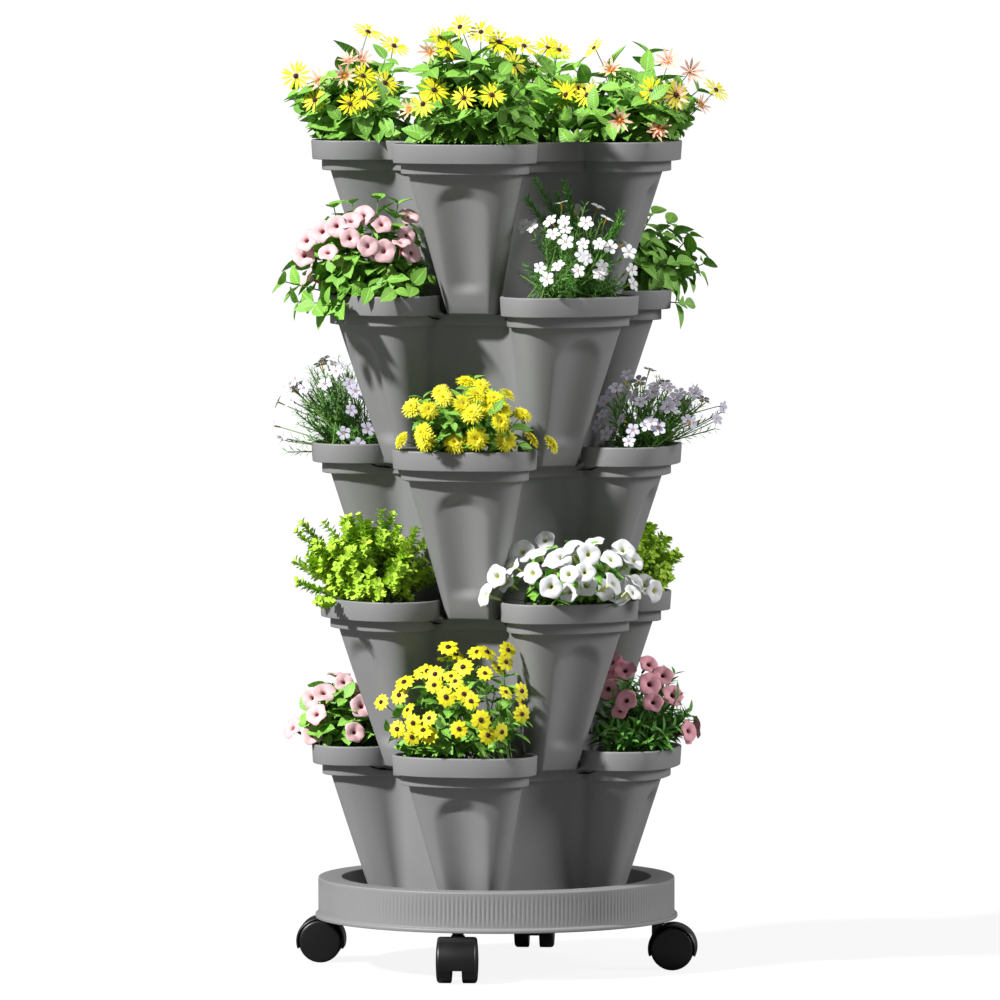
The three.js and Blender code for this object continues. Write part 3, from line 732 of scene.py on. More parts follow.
def soil_rows(sizes, pitch, is_top, seed):
    """The rows of the soil's skin: up inside the wall, and over the lumpy top to the middle. The
    top lies low where the next planter and the ledges are, and high in the pockets: a share that
    rises with the distance along the lobe and with the distance from the webs' middle planes."""
    foot, body, band, rim_bottom, _ = planter_sections(sizes)
    band_bottom, ledge, top = planter_levels(sizes, pitch)
    gap = sizes.soil_gap
    inset = sizes.wall + gap
    low = ledge - sizes.ledge_thickness - 3 * gap
    high = top - sizes.soil_drop
    rows = []
    for height in np.linspace(inset, band_bottom + sizes.wall, 10):
        section = foot.mixed(body, min(height / band_bottom, 1))
        rows.append((height, section.narrowed(inset + sizes.flute_depth)))
    rows += [(height, band.narrowed(inset)) for height in (band_bottom + inset, low)]
    skin = outlines(rows, sizes)
    wide = outlines([(low, rim_bottom.narrowed(sizes.rim_wall + gap))], sizes)[0]

    def pocket(points):
        """The share, with its two rises written in the sizes that they follow."""
        flat = np.abs(points[..., :2])
        along = flat.max(-1)
        from_web = (along - flat.min(-1)) / math.sqrt(2)
        notch, radius = sizes.notch_half_width, sizes.foot_radius
        clear = smooth(1.08 * notch, 1.45 * notch, from_web) * smooth(0.92 * radius, 1.08 * radius, along)
        return np.ones_like(along) if is_top else clear

    edge = skin[-1]
    edge_share = pocket(edge)[:, None]
    lift = np.clip((high - low - sizes.wall) * edge_share, 0, None)
    shoulder = edge + lift * (0, 0, 0.5)
    brim = mixed(edge, wide, edge_share)
    brim[:, 2] = low
    circle = sizes.foot_radius * SOIL_CIRCLE_SHARE
    rings = np.concatenate([brim[None], towards_middle(brim, circle, 14)])
    high_share = pocket(rings)
    flat = rings[..., :2]
    lumps = waves(flat, sizes.lump_width, seed) * sizes.lump_height
    lumps += waves(flat, sizes.crumb_width, seed + 1) * sizes.crumb_height
    rings[..., 2] = mixed(low, high, high_share) + lumps * mixed(0.25, 1, high_share) - sizes.soil_sag
    rings[0, :, 2] -= sizes.brim_drop * high_share[0]
    first = towards_middle(skin[0], sizes.foot_radius * INNER_CIRCLE_SHARE, 3)[::-1]
    return np.concatenate([first, skin, shoulder[None], rings]), rings[-1, :, 2].mean()


# Plants.

LEAF, STEM, PETAL, HEART = range(4)


def unit(vectors):
    """The vectors at length 1."""
    return vectors / np.maximum(np.linalg.norm(vectors, axis=-1, keepdims=True), 1e-9)


def frames(ahead, up):
    """Matrices whose columns are the way ahead, the way to the left and the way nearest to up."""
    ahead = unit(ahead)
    left = unit(np.cross(up, ahead))
    return np.stack([ahead, left, np.cross(ahead, left)], -1)


def spun(normals, random):
    """Matrices whose last column is the normal, with a random turn about it."""
    aside = random.normal(size=normals.shape)
    return frames(aside - normals * (aside * normals).sum(-1, keepdims=True), normals)


class Skin:
    """How far a planter's skin stands from the tower's axis, as a table of heights and angles."""

    COLUMNS = 360

    def __init__(self, rows, sizes, angle, rise):
        rings = turned_about_z(outlines(rows, sizes), angle)
        grid = round_angles(self.COLUMNS)
        around = np.arctan2(rings[..., 1], rings[..., 0])
        radius = np.linalg.norm(rings[..., :2], axis=-1)
        self.table = np.array([np.interp(grid, *pair, period=2 * math.pi) for pair in zip(around, radius)])
        self.heights = rings[:, 0, 2] + rise

    def reach(self, points):
        """The skin's radius in the direction and at the height of each point."""
        column = np.arctan2(points[..., 1], points[..., 0]) / (2 * math.pi) * self.COLUMNS
        left = np.floor(column).astype(int)
        row = np.interp(points[..., 2], self.heights, np.arange(len(self.heights)))
        low = np.minimum(row.astype(int), len(self.heights) - 2)

        def at(line):
            first, second = (self.table[line, (left + step) % self.COLUMNS] for step in (0, 1))
            return mixed(first, second, column - left)

        return mixed(at(low), at(low + 1), row - low)


class Pocket:
    """Room for a plant: the ellipsoid that it fills above the rim, and the walls round it."""

    LEAN_SHARE = 0.75
    MARGIN_SHARE = 0.12
    MOUTH_SHARE = 0.1
    ROOT_SHARES = (0.72, 0.45)
    STEPS = 8

    def __init__(self, tier, side, planter, seed):
        self.node = f"tier_{tier}_{side}_plant"
        self.body = f"tier_{tier}"
        self.random = np.random.default_rng(seed)
        low, high = (np.array(corner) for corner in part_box(self.node))
        angle, base, pitch = tier_place(tier)
        foot, body, _, _, rim = planter_sections(planter)
        self.rim = base + planter_levels(planter, pitch)[-1]
        self.soil = self.rim - planter.soil_drop
        self.centre = np.array([*(low + high)[:2] / 2, self.rim])
        self.half = np.array([*(high - low)[:2] / 2, high[2] - self.rim])
        self.outward = np.zeros(3) if side == "middle" else unit(self.centre * (1, 1, 0))
        mouth = planter.lobe_radius + planter.rim_reach * self.MOUTH_SHARE
        self.mouth = self.outward * mouth + (0, 0, self.soil)
        self.mouth_half = np.multiply((planter.rim_half_width, planter.rim_reach), self.ROOT_SHARES)
        self.margin = planter.rim_reach * self.MARGIN_SHARE
        self.gap = planter.soil_gap * 4
        self.outer_rim, self.inner_rim = (
            Skin([(height, rim.narrowed(inset)) for height in (0, pitch)], planter, angle, base)
            for inset in (0, planter.rim_wall))
        self.above = None
        if tier < TIERS:
            rows = [(part * pitch, foot.mixed(body, part)) for part in np.linspace(0, 1, 9)]
            self.above = Skin(rows, planter, angle + HALF_LOBE, base + pitch)

    def settle(self, points, held):
        """Moves whole copies, given as (copy, vertex, axis), clear of the planter above, of this
        planter's rim and of the soil. Held copies are first drawn in behind a slope that leans
        outwards from the rim, so that light falls on the rim."""
        away = unit(points.mean(1) * (1, 1, 0))[:, None]
        if held:
            excess = np.clip(self.beyond(points).max(1), 0, self.half[0])
            points = points - away * excess[:, None, None]
        if self.above is not None:
            short = self.above.reach(points) + self.gap - np.linalg.norm(points[..., :2], axis=-1)
            points = points + away * np.clip(short.max(1), 0, None)[:, None, None]
        radius = np.linalg.norm(points[..., :2], axis=-1)
        on_rim = radius < self.outer_rim.reach(points) + self.gap
        inside = radius < self.inner_rim.reach(points) - self.gap
        floor = np.where(inside, self.soil, np.where(on_rim, self.rim + self.gap, -1))
        lift = np.clip((floor - points[..., 2]).max(1), 0, None)
        return points + lift[:, None, None] * (0, 0, 1)

    def beyond(self, points):
        """How far points stand beyond the slope above the rim."""
        above = np.clip(points[..., 2] - self.rim, 0, None)
        limit = self.outer_rim.reach(points) + above * self.LEAN_SHARE
        return np.linalg.norm(points[..., :2], axis=-1) - limit

    def drawn_in(self, places):
        """Places moved towards the axis until they stand well behind the slope above the rim."""
        away = unit(places * (1, 1, 0))
        return places - away * np.clip(self.beyond(places) + 2 * self.margin, 0, self.half[0])[:, None]

    def root(self, count):
        """Random places of stems in the soil of the pocket."""
        along = np.cross((0, 0, 1), self.outward)
        shares = self.random.uniform(-1, 1, (count, 2)) * self.mouth_half
        if self.outward.any():
            return self.mouth + shares[:, :1] * along + shares[:, 1:] * self.outward
        around = self.random.uniform(0, 2 * math.pi, count)
        ring_shares = np.sqrt(self.random.uniform(0.05, 1, count))
        return polar(ring_shares * self.mouth_half[0] * 1.2, around, self.soil)

    def tips(self, count, low_share=0.1, fill_share=0.75):
        """Random places near the ellipsoid's skin, from a share of its height upwards."""
        height = self.random.uniform(low_share, 0.98, count)
        around = self.random.uniform(0, 2 * math.pi, count)
        ball = polar(np.sqrt(1 - height**2), around, height)
        return self.centre + ball * self.random.uniform(fill_share, 1, (count, 1)) * self.half

    def seen(self, stage, pixels):
        """Where the camera's rays through pixels of the picture first meet the ellipsoid, or pass
        it most closely. Places in front of the slope above the rim move back along their rays."""
        place, ahead, right, up = camera_axes(stage)
        across = (np.array(pixels) / PICTURE - 0.5) * stage.picture_width
        rays = unit(ahead + across[:, :1] * right - across[:, 1:] * up)
        start = (place - self.centre) / self.half
        ways = rays / self.half
        square = (ways**2).sum(-1)
        middle = ways @ start
        root = np.sqrt(np.clip(middle**2 - square * (start @ start - 1), 0, None))
        first = place + rays * ((-middle - root) / square)[:, None]
        behind = first
        for _ in range(self.STEPS):
            behind = behind + rays * np.clip(self.beyond(behind) + self.margin, 0, None)[:, None]
        far = np.linalg.norm(behind - first, axis=-1) > self.half[1]
        return np.where(far[:, None], first, behind)

    def facing(self, stage, places, to_camera, up=0.25, spread=0.22):
        """Ways that flowers face: out of the ellipsoid, towards the camera and a little upwards."""
        place = camera_axes(stage)[0]
        normals = unit((places - self.centre) / self.half**2)
        ways = normals + to_camera * unit(place - places) + (0, 0, up)
        return unit(unit(ways) + self.random.normal(0, spread, places.shape))


PICTURE = 1000


def camera_axes(stage):
    """The camera's place, the way to the middle of the picture, and the ways right and up."""
    away = np.array([math.sin(stage.camera_turn), -math.cos(stage.camera_turn), 0])
    right = np.array([math.cos(stage.camera_turn), math.sin(stage.camera_turn), 0])
    place = away * stage.camera_distance + (0, 0, stage.camera_height)
    ahead = right * stage.aim_side + (0, 0, stage.aim_height) - place
    return place, ahead, right, unit(np.cross(right, ahead))


def blade(size, half_width, stations=4, widest_share=0.4, fullness=0.9, fold=0.25, curl=0.2, finish=LEAF):
    """A closed leaf or petal along X. Its half width is sin(pi t^a)^fullness, widest at a share t
    of its length, its edges stand up by fold and it curls down by curl t^2."""
    along = np.linspace(0, 1, stations + 2)[1:-1]
    power = math.log(0.5) / math.log(widest_share)
    width = half_width * np.sin(math.pi * along**power) ** fullness
    thick = 0.06 * half_width + 0 * along
    drop = -curl * size * along**2
    corners = ((width, fold * width), (0 * width, thick), (-width, fold * width), (0 * width, -thick))
    rows = np.stack([np.stack([along * size, side, rise + drop], -1) for side, rise in corners], 1)
    surface = Surface()
    surface.ring_grid(rows, (0, 0, 0), (size, 0, -curl * size), finish)
    across = np.tile([1, 0, -1, 0], stations)
    values = np.stack([np.repeat(along, len(corners)), across, 0 * across], -1)
    surface.values = [np.concatenate([values, [(0, 0, 0), (1, 0, 0)]])]
    return surface


def round_form(profile, columns, finish, swell=0.0):
    """A form turned about Z whose values hold the share of its radius and the way round it."""
    surface = Surface()
    surface.lathe(profile, columns, swell, finish)
    points = surface.points[0]
    radius = np.linalg.norm(points[:, :2], axis=-1)
    around = np.arctan2(points[:, 1], points[:, 0])
    surface.values = [np.stack([radius / radius.max(), np.cos(5 * around), 0 * radius], -1)]
    return surface


def whorl(surface, petal, count, start, tilt, rise=0.0, turned=0.0, random=None):
    """Adds petals round the Z axis that start at a radius and are tilted up by an angle."""
    around = turned + round_angles(count)
    if random is not None:
        around = around + random.normal(0, 0.08, count)
        tilt = tilt + random.normal(0, 0.07, count)
    ways = polar(np.cos(tilt), around, np.sin(tilt))
    places = polar(start, around, rise)
    surface.scatter(petal, places, frames(ways, (0, 0, 1)), np.linspace(0, 1, count))


def daisy(radius, petals, width_share, heart_share, tilt, rings=1, widest_share=0.62, cupped=0.42):
    """A flower of rings of flat petals round a domed heart, each ring tilted up by cupped more
    than the one outside it. Half a petal's width and the heart are shares of the radius."""
    random = np.random.default_rng(5)
    surface = Surface()
    heart = radius * heart_share
    start = heart * 0.6
    for ring in range(rings):
        size = (radius - start) * (1 - ring * 0.22)
        petal = blade(size, radius * width_share, 2, widest_share, 0.6, 0.12, 0.1, PETAL)
        count = max(petals - 3 * ring, 5)
        whorl(surface, petal, count, start, tilt + ring * cupped, ring * radius * 0.05, ring * 0.35, random)
    dome_shares = np.array([(0, -0.35), (0.8, -0.3), (1, 0.1), (0.75, 0.55), (0, 0.75)])
    surface.include(round_form(dome_shares * heart, 10, HEART))
    cup_shares = np.array([(0, -1.1), (0.4, -0.9), (0.8, -0.3), (0, -0.25)])
    surface.include(round_form(cup_shares * heart, 8, STEM))
    return surface


def trumpet(radius, depth, lobes=5, columns=25):
    """A petunia: a double skin from the tube's foot out to a wavy rim and back into the throat.
    Its radius swells and its rim rises by cos(lobes a) times the share of the radius squared."""
    skin = 0.02 * radius
    outer_shares = ((0.1, -1), (0.13, -0.55), (0.24, -0.25), (0.6, -0.1), (1, -0.02))
    inner_shares = ((0.99, 0), (0.78, 0.01), (0.45, -0.02), (0.24, -0.1), (0.14, -0.32), (0.08, -0.7))
    body = np.concatenate([outer_shares, inner_shares]) * (radius, depth)
    body[len(outer_shares):] += (-skin, skin)
    profile = np.concatenate([[(0, -depth)], body, [(0, -0.75 * depth)]])
    around = round_angles(columns)
    shares = body[:, :1] / radius
    swell = (np.cos(lobes * around) * 0.07 + np.cos(3 * around + 1) * 0.03) * shares**2 * radius
    form = round_form(profile, columns, PETAL, swell)
    share, wave, _ = form.values[0].T
    form.points[0][:, 2] -= wave * share**2 * radius * 0.09
    return form


def five_petals(radius):
    """A phlox: five blunt petals round a short tube."""
    surface = Surface()
    petal = blade(radius * 0.95, radius * 0.36, 3, 0.66, 0.5, 0.08, 0.08, PETAL)
    whorl(surface, petal, 5, radius * 0.07, 0.12)
    tube_shares = np.array([(0, -0.9), (0.08, -0.85), (0.11, 0.02), (0, 0.05)])
    surface.include(round_form(tube_shares * radius, 6, HEART))
    return surface


def stems(surface, pocket, starts, ends, arrival, radius, rows=7, sides=5):
    """Adds round stems on curves (1-t)^2 start + 2t(1-t) middle + t^2 end, which rise from the
    soil and arrive along given ways. Returns the curves' points and their tangents."""
    part = np.linspace(0, 1, rows)[:, None, None]
    span = np.linalg.norm(ends - starts, axis=-1, keepdims=True)
    risen = mixed(starts, ends, 0.45) + (0, 0, 1) * span * 0.18
    middle = mixed(risen, ends - arrival * span * 0.45, 0.5)
    curve = (1 - part) ** 2 * starts + 2 * part * (1 - part) * middle + part**2 * ends
    if pocket.above is not None:
        reach = np.linalg.norm(curve[..., :2], axis=-1)
        wanted = pocket.above.reach(curve) + pocket.gap + radius
        curve += unit(curve * (1, 1, 0)) * np.clip(wanted - reach, 0, None)[..., None]
    tangent = unit(np.gradient(curve, axis=0))
    axes = frames(tangent, (0.31, 0.17, 0.93))
    flat = polar(1, round_angles(sides))[:, :2]
    ways = np.einsum("sc,rkac->krsa", flat, axes[..., 1:])
    taper = radius * mixed(1.2, 0.7, part)
    for k, line in enumerate(curve.transpose(1, 0, 2)):
        surface.ring_grid(line[:, None] + ways[k] * taper, line[0], line[-1], STEM)
    return curve.transpose(1, 0, 2), tangent.transpose(1, 0, 2)


def along_curves(curves, tangents, parts):
    """Points and tangents at shares of the length of each curve."""
    place = parts * (curves.shape[1] - 1)
    low = np.minimum(place.astype(int), curves.shape[1] - 2)
    rest = (place - low)[None, :, None]
    points, ways = (mixed(values[:, low], values[:, low + 1], rest) for values in (curves, tangents))
    return points, unit(ways)


def leaf_pairs(surface, pocket, curves, tangents, growth, nodes, first, last=1.0, held=True):
    """Adds leaves in pairs or whorls along stems, each a part of a turn on from the last one,
    spread from the stem, smaller towards its end and with less painted shade there."""
    per_node = growth.per_node
    random = pocket.random
    parts = np.linspace(first, last, nodes)
    places, ways = along_curves(curves, tangents, parts)
    axes = frames(ways, (0.2, -0.35, 0.9))[:, :, None]
    turn = math.pi / per_node * np.arange(nodes)[:, None] + round_angles(per_node)
    turn = turn + random.uniform(0, 6, (len(curves), 1, 1))
    turn = turn + random.normal(0, 0.25, turn.shape)
    side = axes[..., 1] * np.cos(turn)[..., None] + axes[..., 2] * np.sin(turn)[..., None]
    lean = (growth.spread + random.normal(0, 0.15, turn.shape))[..., None]
    ahead = ways[:, :, None] * np.cos(lean) + side * np.sin(lean) - growth.droop * np.array([0, 0, 1])
    up = np.repeat(ways, per_node, 1).reshape(-1, 3) + (0, 0, 0.4)
    size = mixed(1, growth.smallest, np.abs(parts - 0.55) / 0.45)[:, None]
    size = size * random.uniform(0.72, 1.15, turn.shape)
    matrices = frames(ahead.reshape(-1, 3), up) * size.reshape(-1, 1, 1)
    origin = np.repeat(places, per_node, 1).reshape(-1, 3)
    # the chance carries each leaf from the painted-shade tone towards the lit tone
    chances = mixed(parts[:, None], random.uniform(0, 1, turn.shape), 0.55)
    surface.scatter(growth.leaf, origin, matrices, chances.ravel(), pocket, held)


def flowers(surface, pocket, form, places, normals):
    """Adds flowers at places, facing along normals."""
    sizes = pocket.random.uniform(0.85, 1.12, (len(places), 1, 1))
    matrices = spun(normals, pocket.random) * sizes
    surface.scatter(form, places, matrices, pocket.random.uniform(0, 1, len(places)), pocket)


# Where the photograph shows flowers, in pixels from its upper left corner.
SEEN = {
    "daisies_front": ((440, 38), (447, 49), (423, 104), (492, 95), (464, 98), (460, 27), (481, 32),
                      (499, 42), (514, 64), (434, 90)),
    "daisies_right": ((594, 48), (566, 95), (587, 95), (652, 91), (676, 95), (716, 90)),
    "daisies_left": ((368, 32), (394, 46), (364, 98), (350, 104), (315, 100), (363, 76), (296, 76),
                     (385, 83)),
    "daisies_middle": ((524, 46), (548, 47), (559, 50)),
    "stars_front": ((430, 52), (410, 110)),
    "stars_right": ((612, 70), (668, 62), (690, 72), (700, 105), (660, 128), (620, 120), (655, 132)),
    "stars_left": ((320, 82), (362, 60), (345, 76)),
    "pink_petunias": ((322, 231), (350, 238), (384, 251), (412, 253), (328, 252), (363, 215), (409, 216),
                      (407, 235), (382, 224), (336, 226), (368, 246), (306, 240), (304, 255), (351, 220)),
    "white_phlox": ((547, 279), (558, 266), (566, 242), (553, 234), (583, 244), (582, 255), (586, 259),
                    (578, 271), (600, 274), (602, 266), (610, 247), (629, 252), (632, 270), (633, 284),
                    (586, 223), (550, 221), (523, 226), (532, 226), (540, 268), (599, 244)),
    "left_phlox": ((358, 445), (368, 429), (344, 433), (356, 391), (336, 371), (304, 388), (295, 378),
                   (291, 400), (282, 440), (349, 384), (325, 384)),
    "golden_mums": ((401, 440), (425, 440), (455, 443), (477, 439), (506, 440), (532, 439), (552, 444),
                    (412, 407), (429, 410), (444, 398), (472, 413), (463, 404), (477, 395), (466, 381),
                    (481, 386), (440, 392), (502, 410), (494, 399), (501, 422), (508, 394), (522, 414)),
    "lilac_phlox": ((610, 395), (632, 396), (653, 392), (667, 407), (680, 393), (694, 393), (688, 421),
                    (723, 407), (633, 430), (658, 428), (629, 444), (627, 375), (717, 419), (640, 402),
                    (674, 400), (604, 401), (616, 388)),
    "white_petunias": ((539, 552), (562, 558), (589, 554), (612, 559), (506, 582), (551, 587), (569, 592),
                       (586, 585), (603, 589), (619, 593), (634, 585), (655, 591), (486, 593), (496, 575),
                       (522, 551), (545, 540), (595, 541), (511, 565), (532, 573), (634, 560), (623, 551),
                       (574, 548), (585, 572), (569, 574), (644, 584)),
    "left_petunias": ((316, 714), (312, 735), (362, 706), (355, 732), (344, 682), (296, 720), (311, 698),
                      (324, 692), (363, 690)),
    "black_eyed_daisies": ((381, 702), (399, 695), (448, 647), (456, 654), (487, 652), (477, 652), (508, 650),
                           (463, 667), (498, 667), (485, 673), (506, 662), (451, 676), (455, 681), (434, 685),
                           (435, 674), (427, 671), (420, 672), (404, 682), (464, 694), (471, 701), (446, 697),
                           (506, 692), (522, 691), (522, 714), (429, 718), (413, 723), (397, 729), (412, 737),
                           (429, 735), (459, 729), (481, 720), (488, 735), (502, 732), (423, 730)),
    "rose_petunias": ((626, 700), (653, 702), (649, 664), (663, 675), (650, 684), (673, 695), (619, 672),
                      (614, 668), (625, 670), (608, 690), (612, 662), (609, 679)),
}


# Where the photograph shows the ends of shoots.
SHOOTS = {
    "pink_petunias": ((286, 282), (300, 262), (299, 302), (316, 305), (330, 290), (334, 208), (352, 204),
                      (378, 200), (398, 204), (420, 236), (370, 292), (395, 290), (412, 285), (428, 282)),
    "rosemary": ((536, 182), (565, 184), (558, 196), (621, 214), (618, 226), (527, 200)),
    "mint": ((690, 236), (703, 264), (668, 224), (652, 214), (684, 303), (672, 284), (650, 240), (640, 262),
             (694, 248), (660, 262), (676, 262), (655, 290), (700, 272)),
    "box": ((298, 533), (303, 524), (296, 562), (299, 583), (318, 601), (325, 524), (345, 520), (358, 517),
            (381, 512), (392, 516), (415, 531), (423, 545), (428, 570), (436, 577), (357, 605), (380, 592)),
    "back_box": ((648, 524), (655, 540), (665, 566), (642, 534), (652, 556), (661, 575), (640, 550)),
    "left_phlox": ((310, 382), (282, 438), (300, 425), (288, 452), (340, 384), (352, 372), (325, 378),
                   (296, 412)),
    "lilac_phlox": ((714, 429), (700, 420), (722, 412), (690, 400), (705, 403), (680, 398), (626, 372)),
    "daisies_front": ((447, 40), (470, 62), (430, 70), (500, 75), (520, 90), (455, 120), (500, 125),
                      (520, 118)),
    "daisies_right": ((575, 70), (595, 110), (575, 146), (620, 88), (650, 100), (690, 110), (630, 125)),
    "daisies_left": ((318, 88), (315, 110), (304, 136), (340, 120), (360, 135), (385, 60), (385, 100)),
    "rose_petunias": ((674, 726), (676, 700), (665, 735), (640, 720), (620, 730), (600, 735)),
}


class Growth:
    """How a kind of plant grows: its forms, and how many shoots, leaves and flowers it has."""

    flower = None
    shoots = 24
    nodes = 5
    first = 0.3
    spread = 1.0
    smallest = 0.5
    per_node = 2
    droop = 0.0
    fill_share = 0.6
    low_share = 0.05
    up = 0.25
    to_camera = 0.6
    held = False

    def __init__(self, leaf, **settings):
        vars(self).update(leaf=leaf, **settings)


def growths(sizes):
    """Every kind of plant in the tower."""
    small = blade(sizes.petunia_leaf, sizes.petunia_leaf * 0.29, 4, 0.42, 0.85, 0.3, 0.25)
    broad = blade(sizes.daisy_leaf, sizes.daisy_leaf * 0.3, 5, 0.4, 0.85, 0.3, 0.22)
    heart_leaf = blade(sizes.petunia_leaf * 1.2, sizes.petunia_leaf * 0.4, 4, 0.4, 0.8, 0.25, 0.2)
    narrow = blade(sizes.petunia_leaf, sizes.petunia_leaf * 0.13, 3)
    mint = blade(sizes.mint_leaf, sizes.mint_leaf * 0.3, 4, 0.4, 0.85, 0.3, 0.3)
    needle = blade(sizes.needle, sizes.needle * 0.07, 1, 0.4, 1.0, 0.3, 0.12)
    rosemary = blade(sizes.needle, sizes.needle * 0.1, 1, 0.5, 1.0, 0.3, 0.05)
    scale = blade(sizes.box_leaf, sizes.box_leaf * 0.36, 2, 0.6, 0.5, 0.3, 0.05)
    petunia = trumpet(sizes.petunia_radius, sizes.petunia_radius * 1.5)
    thin = {"flower": five_petals(sizes.phlox_radius), "shoots": 60, "nodes": 10, "first": 0.2, "spread": 0.8,
            "smallest": 0.6, "per_node": 4, "to_camera": 0.9}
    return {
        "daisy": Growth(broad, flower=daisy(sizes.daisy_radius, 14, 0.1, 0.17, 0.15), shoots=20, first=0.25,
                        spread=1.05, smallest=0.6, fill_share=0.45, up=0.4, to_camera=0.8, held=True),
        "star": Growth(small, flower=daisy(sizes.star_radius, 9, 0.1, 0.12, 0.55, widest_share=0.5),
                       shoots=6, nodes=4, first=0.35, fill_share=0.5),
        "pink": Growth(heart_leaf, flower=petunia, shoots=26, spread=1.05, smallest=0.75, droop=0.1,
                       to_camera=1.1),
        "rose": Growth(narrow, flower=petunia, shoots=60, nodes=8, first=0.2, spread=0.8, smallest=0.6,
                       droop=0.05, to_camera=1.1),
        "white": Growth(small, flower=petunia, shoots=22, spread=1.05, smallest=0.6, droop=0.1,
                        fill_share=0.5, to_camera=1.3),
        "mint": Growth(mint, shoots=20, nodes=6, first=0.25, spread=1.1, smallest=0.75, droop=0.15),
        "phlox": Growth(needle, **thin),
        "lilac": Growth(needle, **thin),
        "rosemary": Growth(rosemary, shoots=0, nodes=34, first=0.1, spread=0.75, smallest=0.7, per_node=6),
        "mum": Growth(small, flower=daisy(sizes.mum_radius, 30, 0.085, 0.14, 0.0, 4, 0.72, 0.17), shoots=22,
                      smallest=0.6, to_camera=0.5),
        "rudbeckia": Growth(small, flower=daisy(sizes.rudbeckia_radius, 11, 0.24, 0.24, -0.05,
                                                widest_share=0.66),
                            shoots=22, first=0.25, smallest=0.6, to_camera=1.1),
        "box": Growth(scale, shoots=200, nodes=10, first=0.6, smallest=0.9, per_node=4, fill_share=0.72,
                      low_share=0.0),
    }


# Piece name, tier, side, kind, number of flowers besides those in SEEN, and whether the piece
# stands for the pocket's CAD plant.
PLANTED = (
    ("daisies_front", 5, "front", "daisy", 0, True),
    ("daisies_right", 5, "right", "daisy", 0, True),
    ("daisies_back", 5, "back", "daisy", 18, True),
    ("daisies_left", 5, "left", "daisy", 0, True),
    ("daisies_middle", 5, "middle", "daisy", 4, True),
    ("stars_front", 5, "front", "star", 0, False),
    ("stars_right", 5, "right", "star", 1, False),
    ("stars_left", 5, "left", "star", 1, False),
    ("pink_petunias", 4, "front_left", "pink", 3, True),
    ("white_phlox", 4, "front_right", "phlox", 8, True),
    ("rosemary", 4, "front_right", "rosemary", 0, False),
    ("mint", 4, "back_right", "mint", 0, True),
    ("back_mint", 4, "back_left", "mint", 0, True),
    ("left_phlox", 3, "left", "lilac", 26, True),
    ("golden_mums", 3, "front", "mum", 2, True),
    ("lilac_phlox", 3, "right", "lilac", 24, True),
    ("back_mums", 3, "back", "mum", 20, True),
    ("box", 2, "front_left", "box", 0, True),
    ("white_petunias", 2, "front_right", "white", 12, True),
    ("back_box", 2, "back_right", "box", 0, True),
    ("back_petunias", 2, "back_left", "white", 16, True),
    ("left_petunias", 1, "left", "pink", 4, True),
    ("black_eyed_daisies", 1, "front", "rudbeckia", 3, True),
    ("rose_petunias", 1, "right", "rose", 4, True),
    ("back_daisies", 1, "back", "rudbeckia", 24, True),
)


def grown(pocket, growth, pixels, shoots, further, stage, sizes):
    """One plant: flowers where the photograph shows them and at random, each on a stem of its own
    from the soil, and leafy shoots between them."""
    surface = Surface()
    groups = []
    if growth.shoots:
        groups.append((pocket.tips(growth.shoots, growth.low_share, growth.fill_share), True))
    if shoots:
        groups.append((pocket.seen(stage, shoots), False))
    for ends, held in groups:
        held = held or growth.held
        if held:
            ends = pocket.drawn_in(ends)
        arrival = unit(unit((ends - pocket.centre) / pocket.half) + (0, 0, 0.6))
        curves, ways = stems(surface, pocket, pocket.root(len(ends)), ends, arrival, sizes.stem_radius)
        leaf_pairs(surface, pocket, curves, ways, growth, growth.nodes, growth.first, held=held)
    if growth.flower is None:
        return surface
    places = pocket.tips(further, 0.15, 0.9)
    normals = pocket.facing(stage, places, 0)
    if pixels:
        seen = pocket.seen(stage, pixels)
        places = np.concatenate([seen, places])
        normals = np.concatenate([pocket.facing(stage, seen, growth.to_camera, growth.up), normals])
    flowers(surface, pocket, growth.flower, places, normals)
    lowest = np.concatenate(growth.flower.points)[:, 2].min()
    ends = places + normals * lowest * 0.9
    curves, ways = stems(surface, pocket, pocket.root(len(places)), ends, unit(normals + (0, 0, 0.5)),
                         sizes.stem_radius * 0.8)
    leaf_pairs(surface, pocket, curves, ways, growth, 2, 0.35, 0.7)
    return surface


# Finishes.


class Value:
    """A socket of a finish's node tree, so that shader maths reads as plain expressions."""

    def __init__(self, finish, socket):
        self.finish = finish
        self.socket = socket

    def maths(self, operation, *others):
        return self.finish.node("ShaderNodeMath", {"operation": operation}, dict(enumerate((self, *others))))

    def __add__(self, other):
        return self.maths("ADD", other)

    def __sub__(self, other):
        return self.maths("SUBTRACT", other)

    def __mul__(self, other):
        return self.maths("MULTIPLY", other)

    def between(self, low, high):
        """0 below low, 1 above high and smooth between them."""
        inputs = {"Value": self, "From Min": low, "From Max": high}
        return self.finish.node("ShaderNodeMapRange", {"interpolation_type": "SMOOTHSTEP"}, inputs)


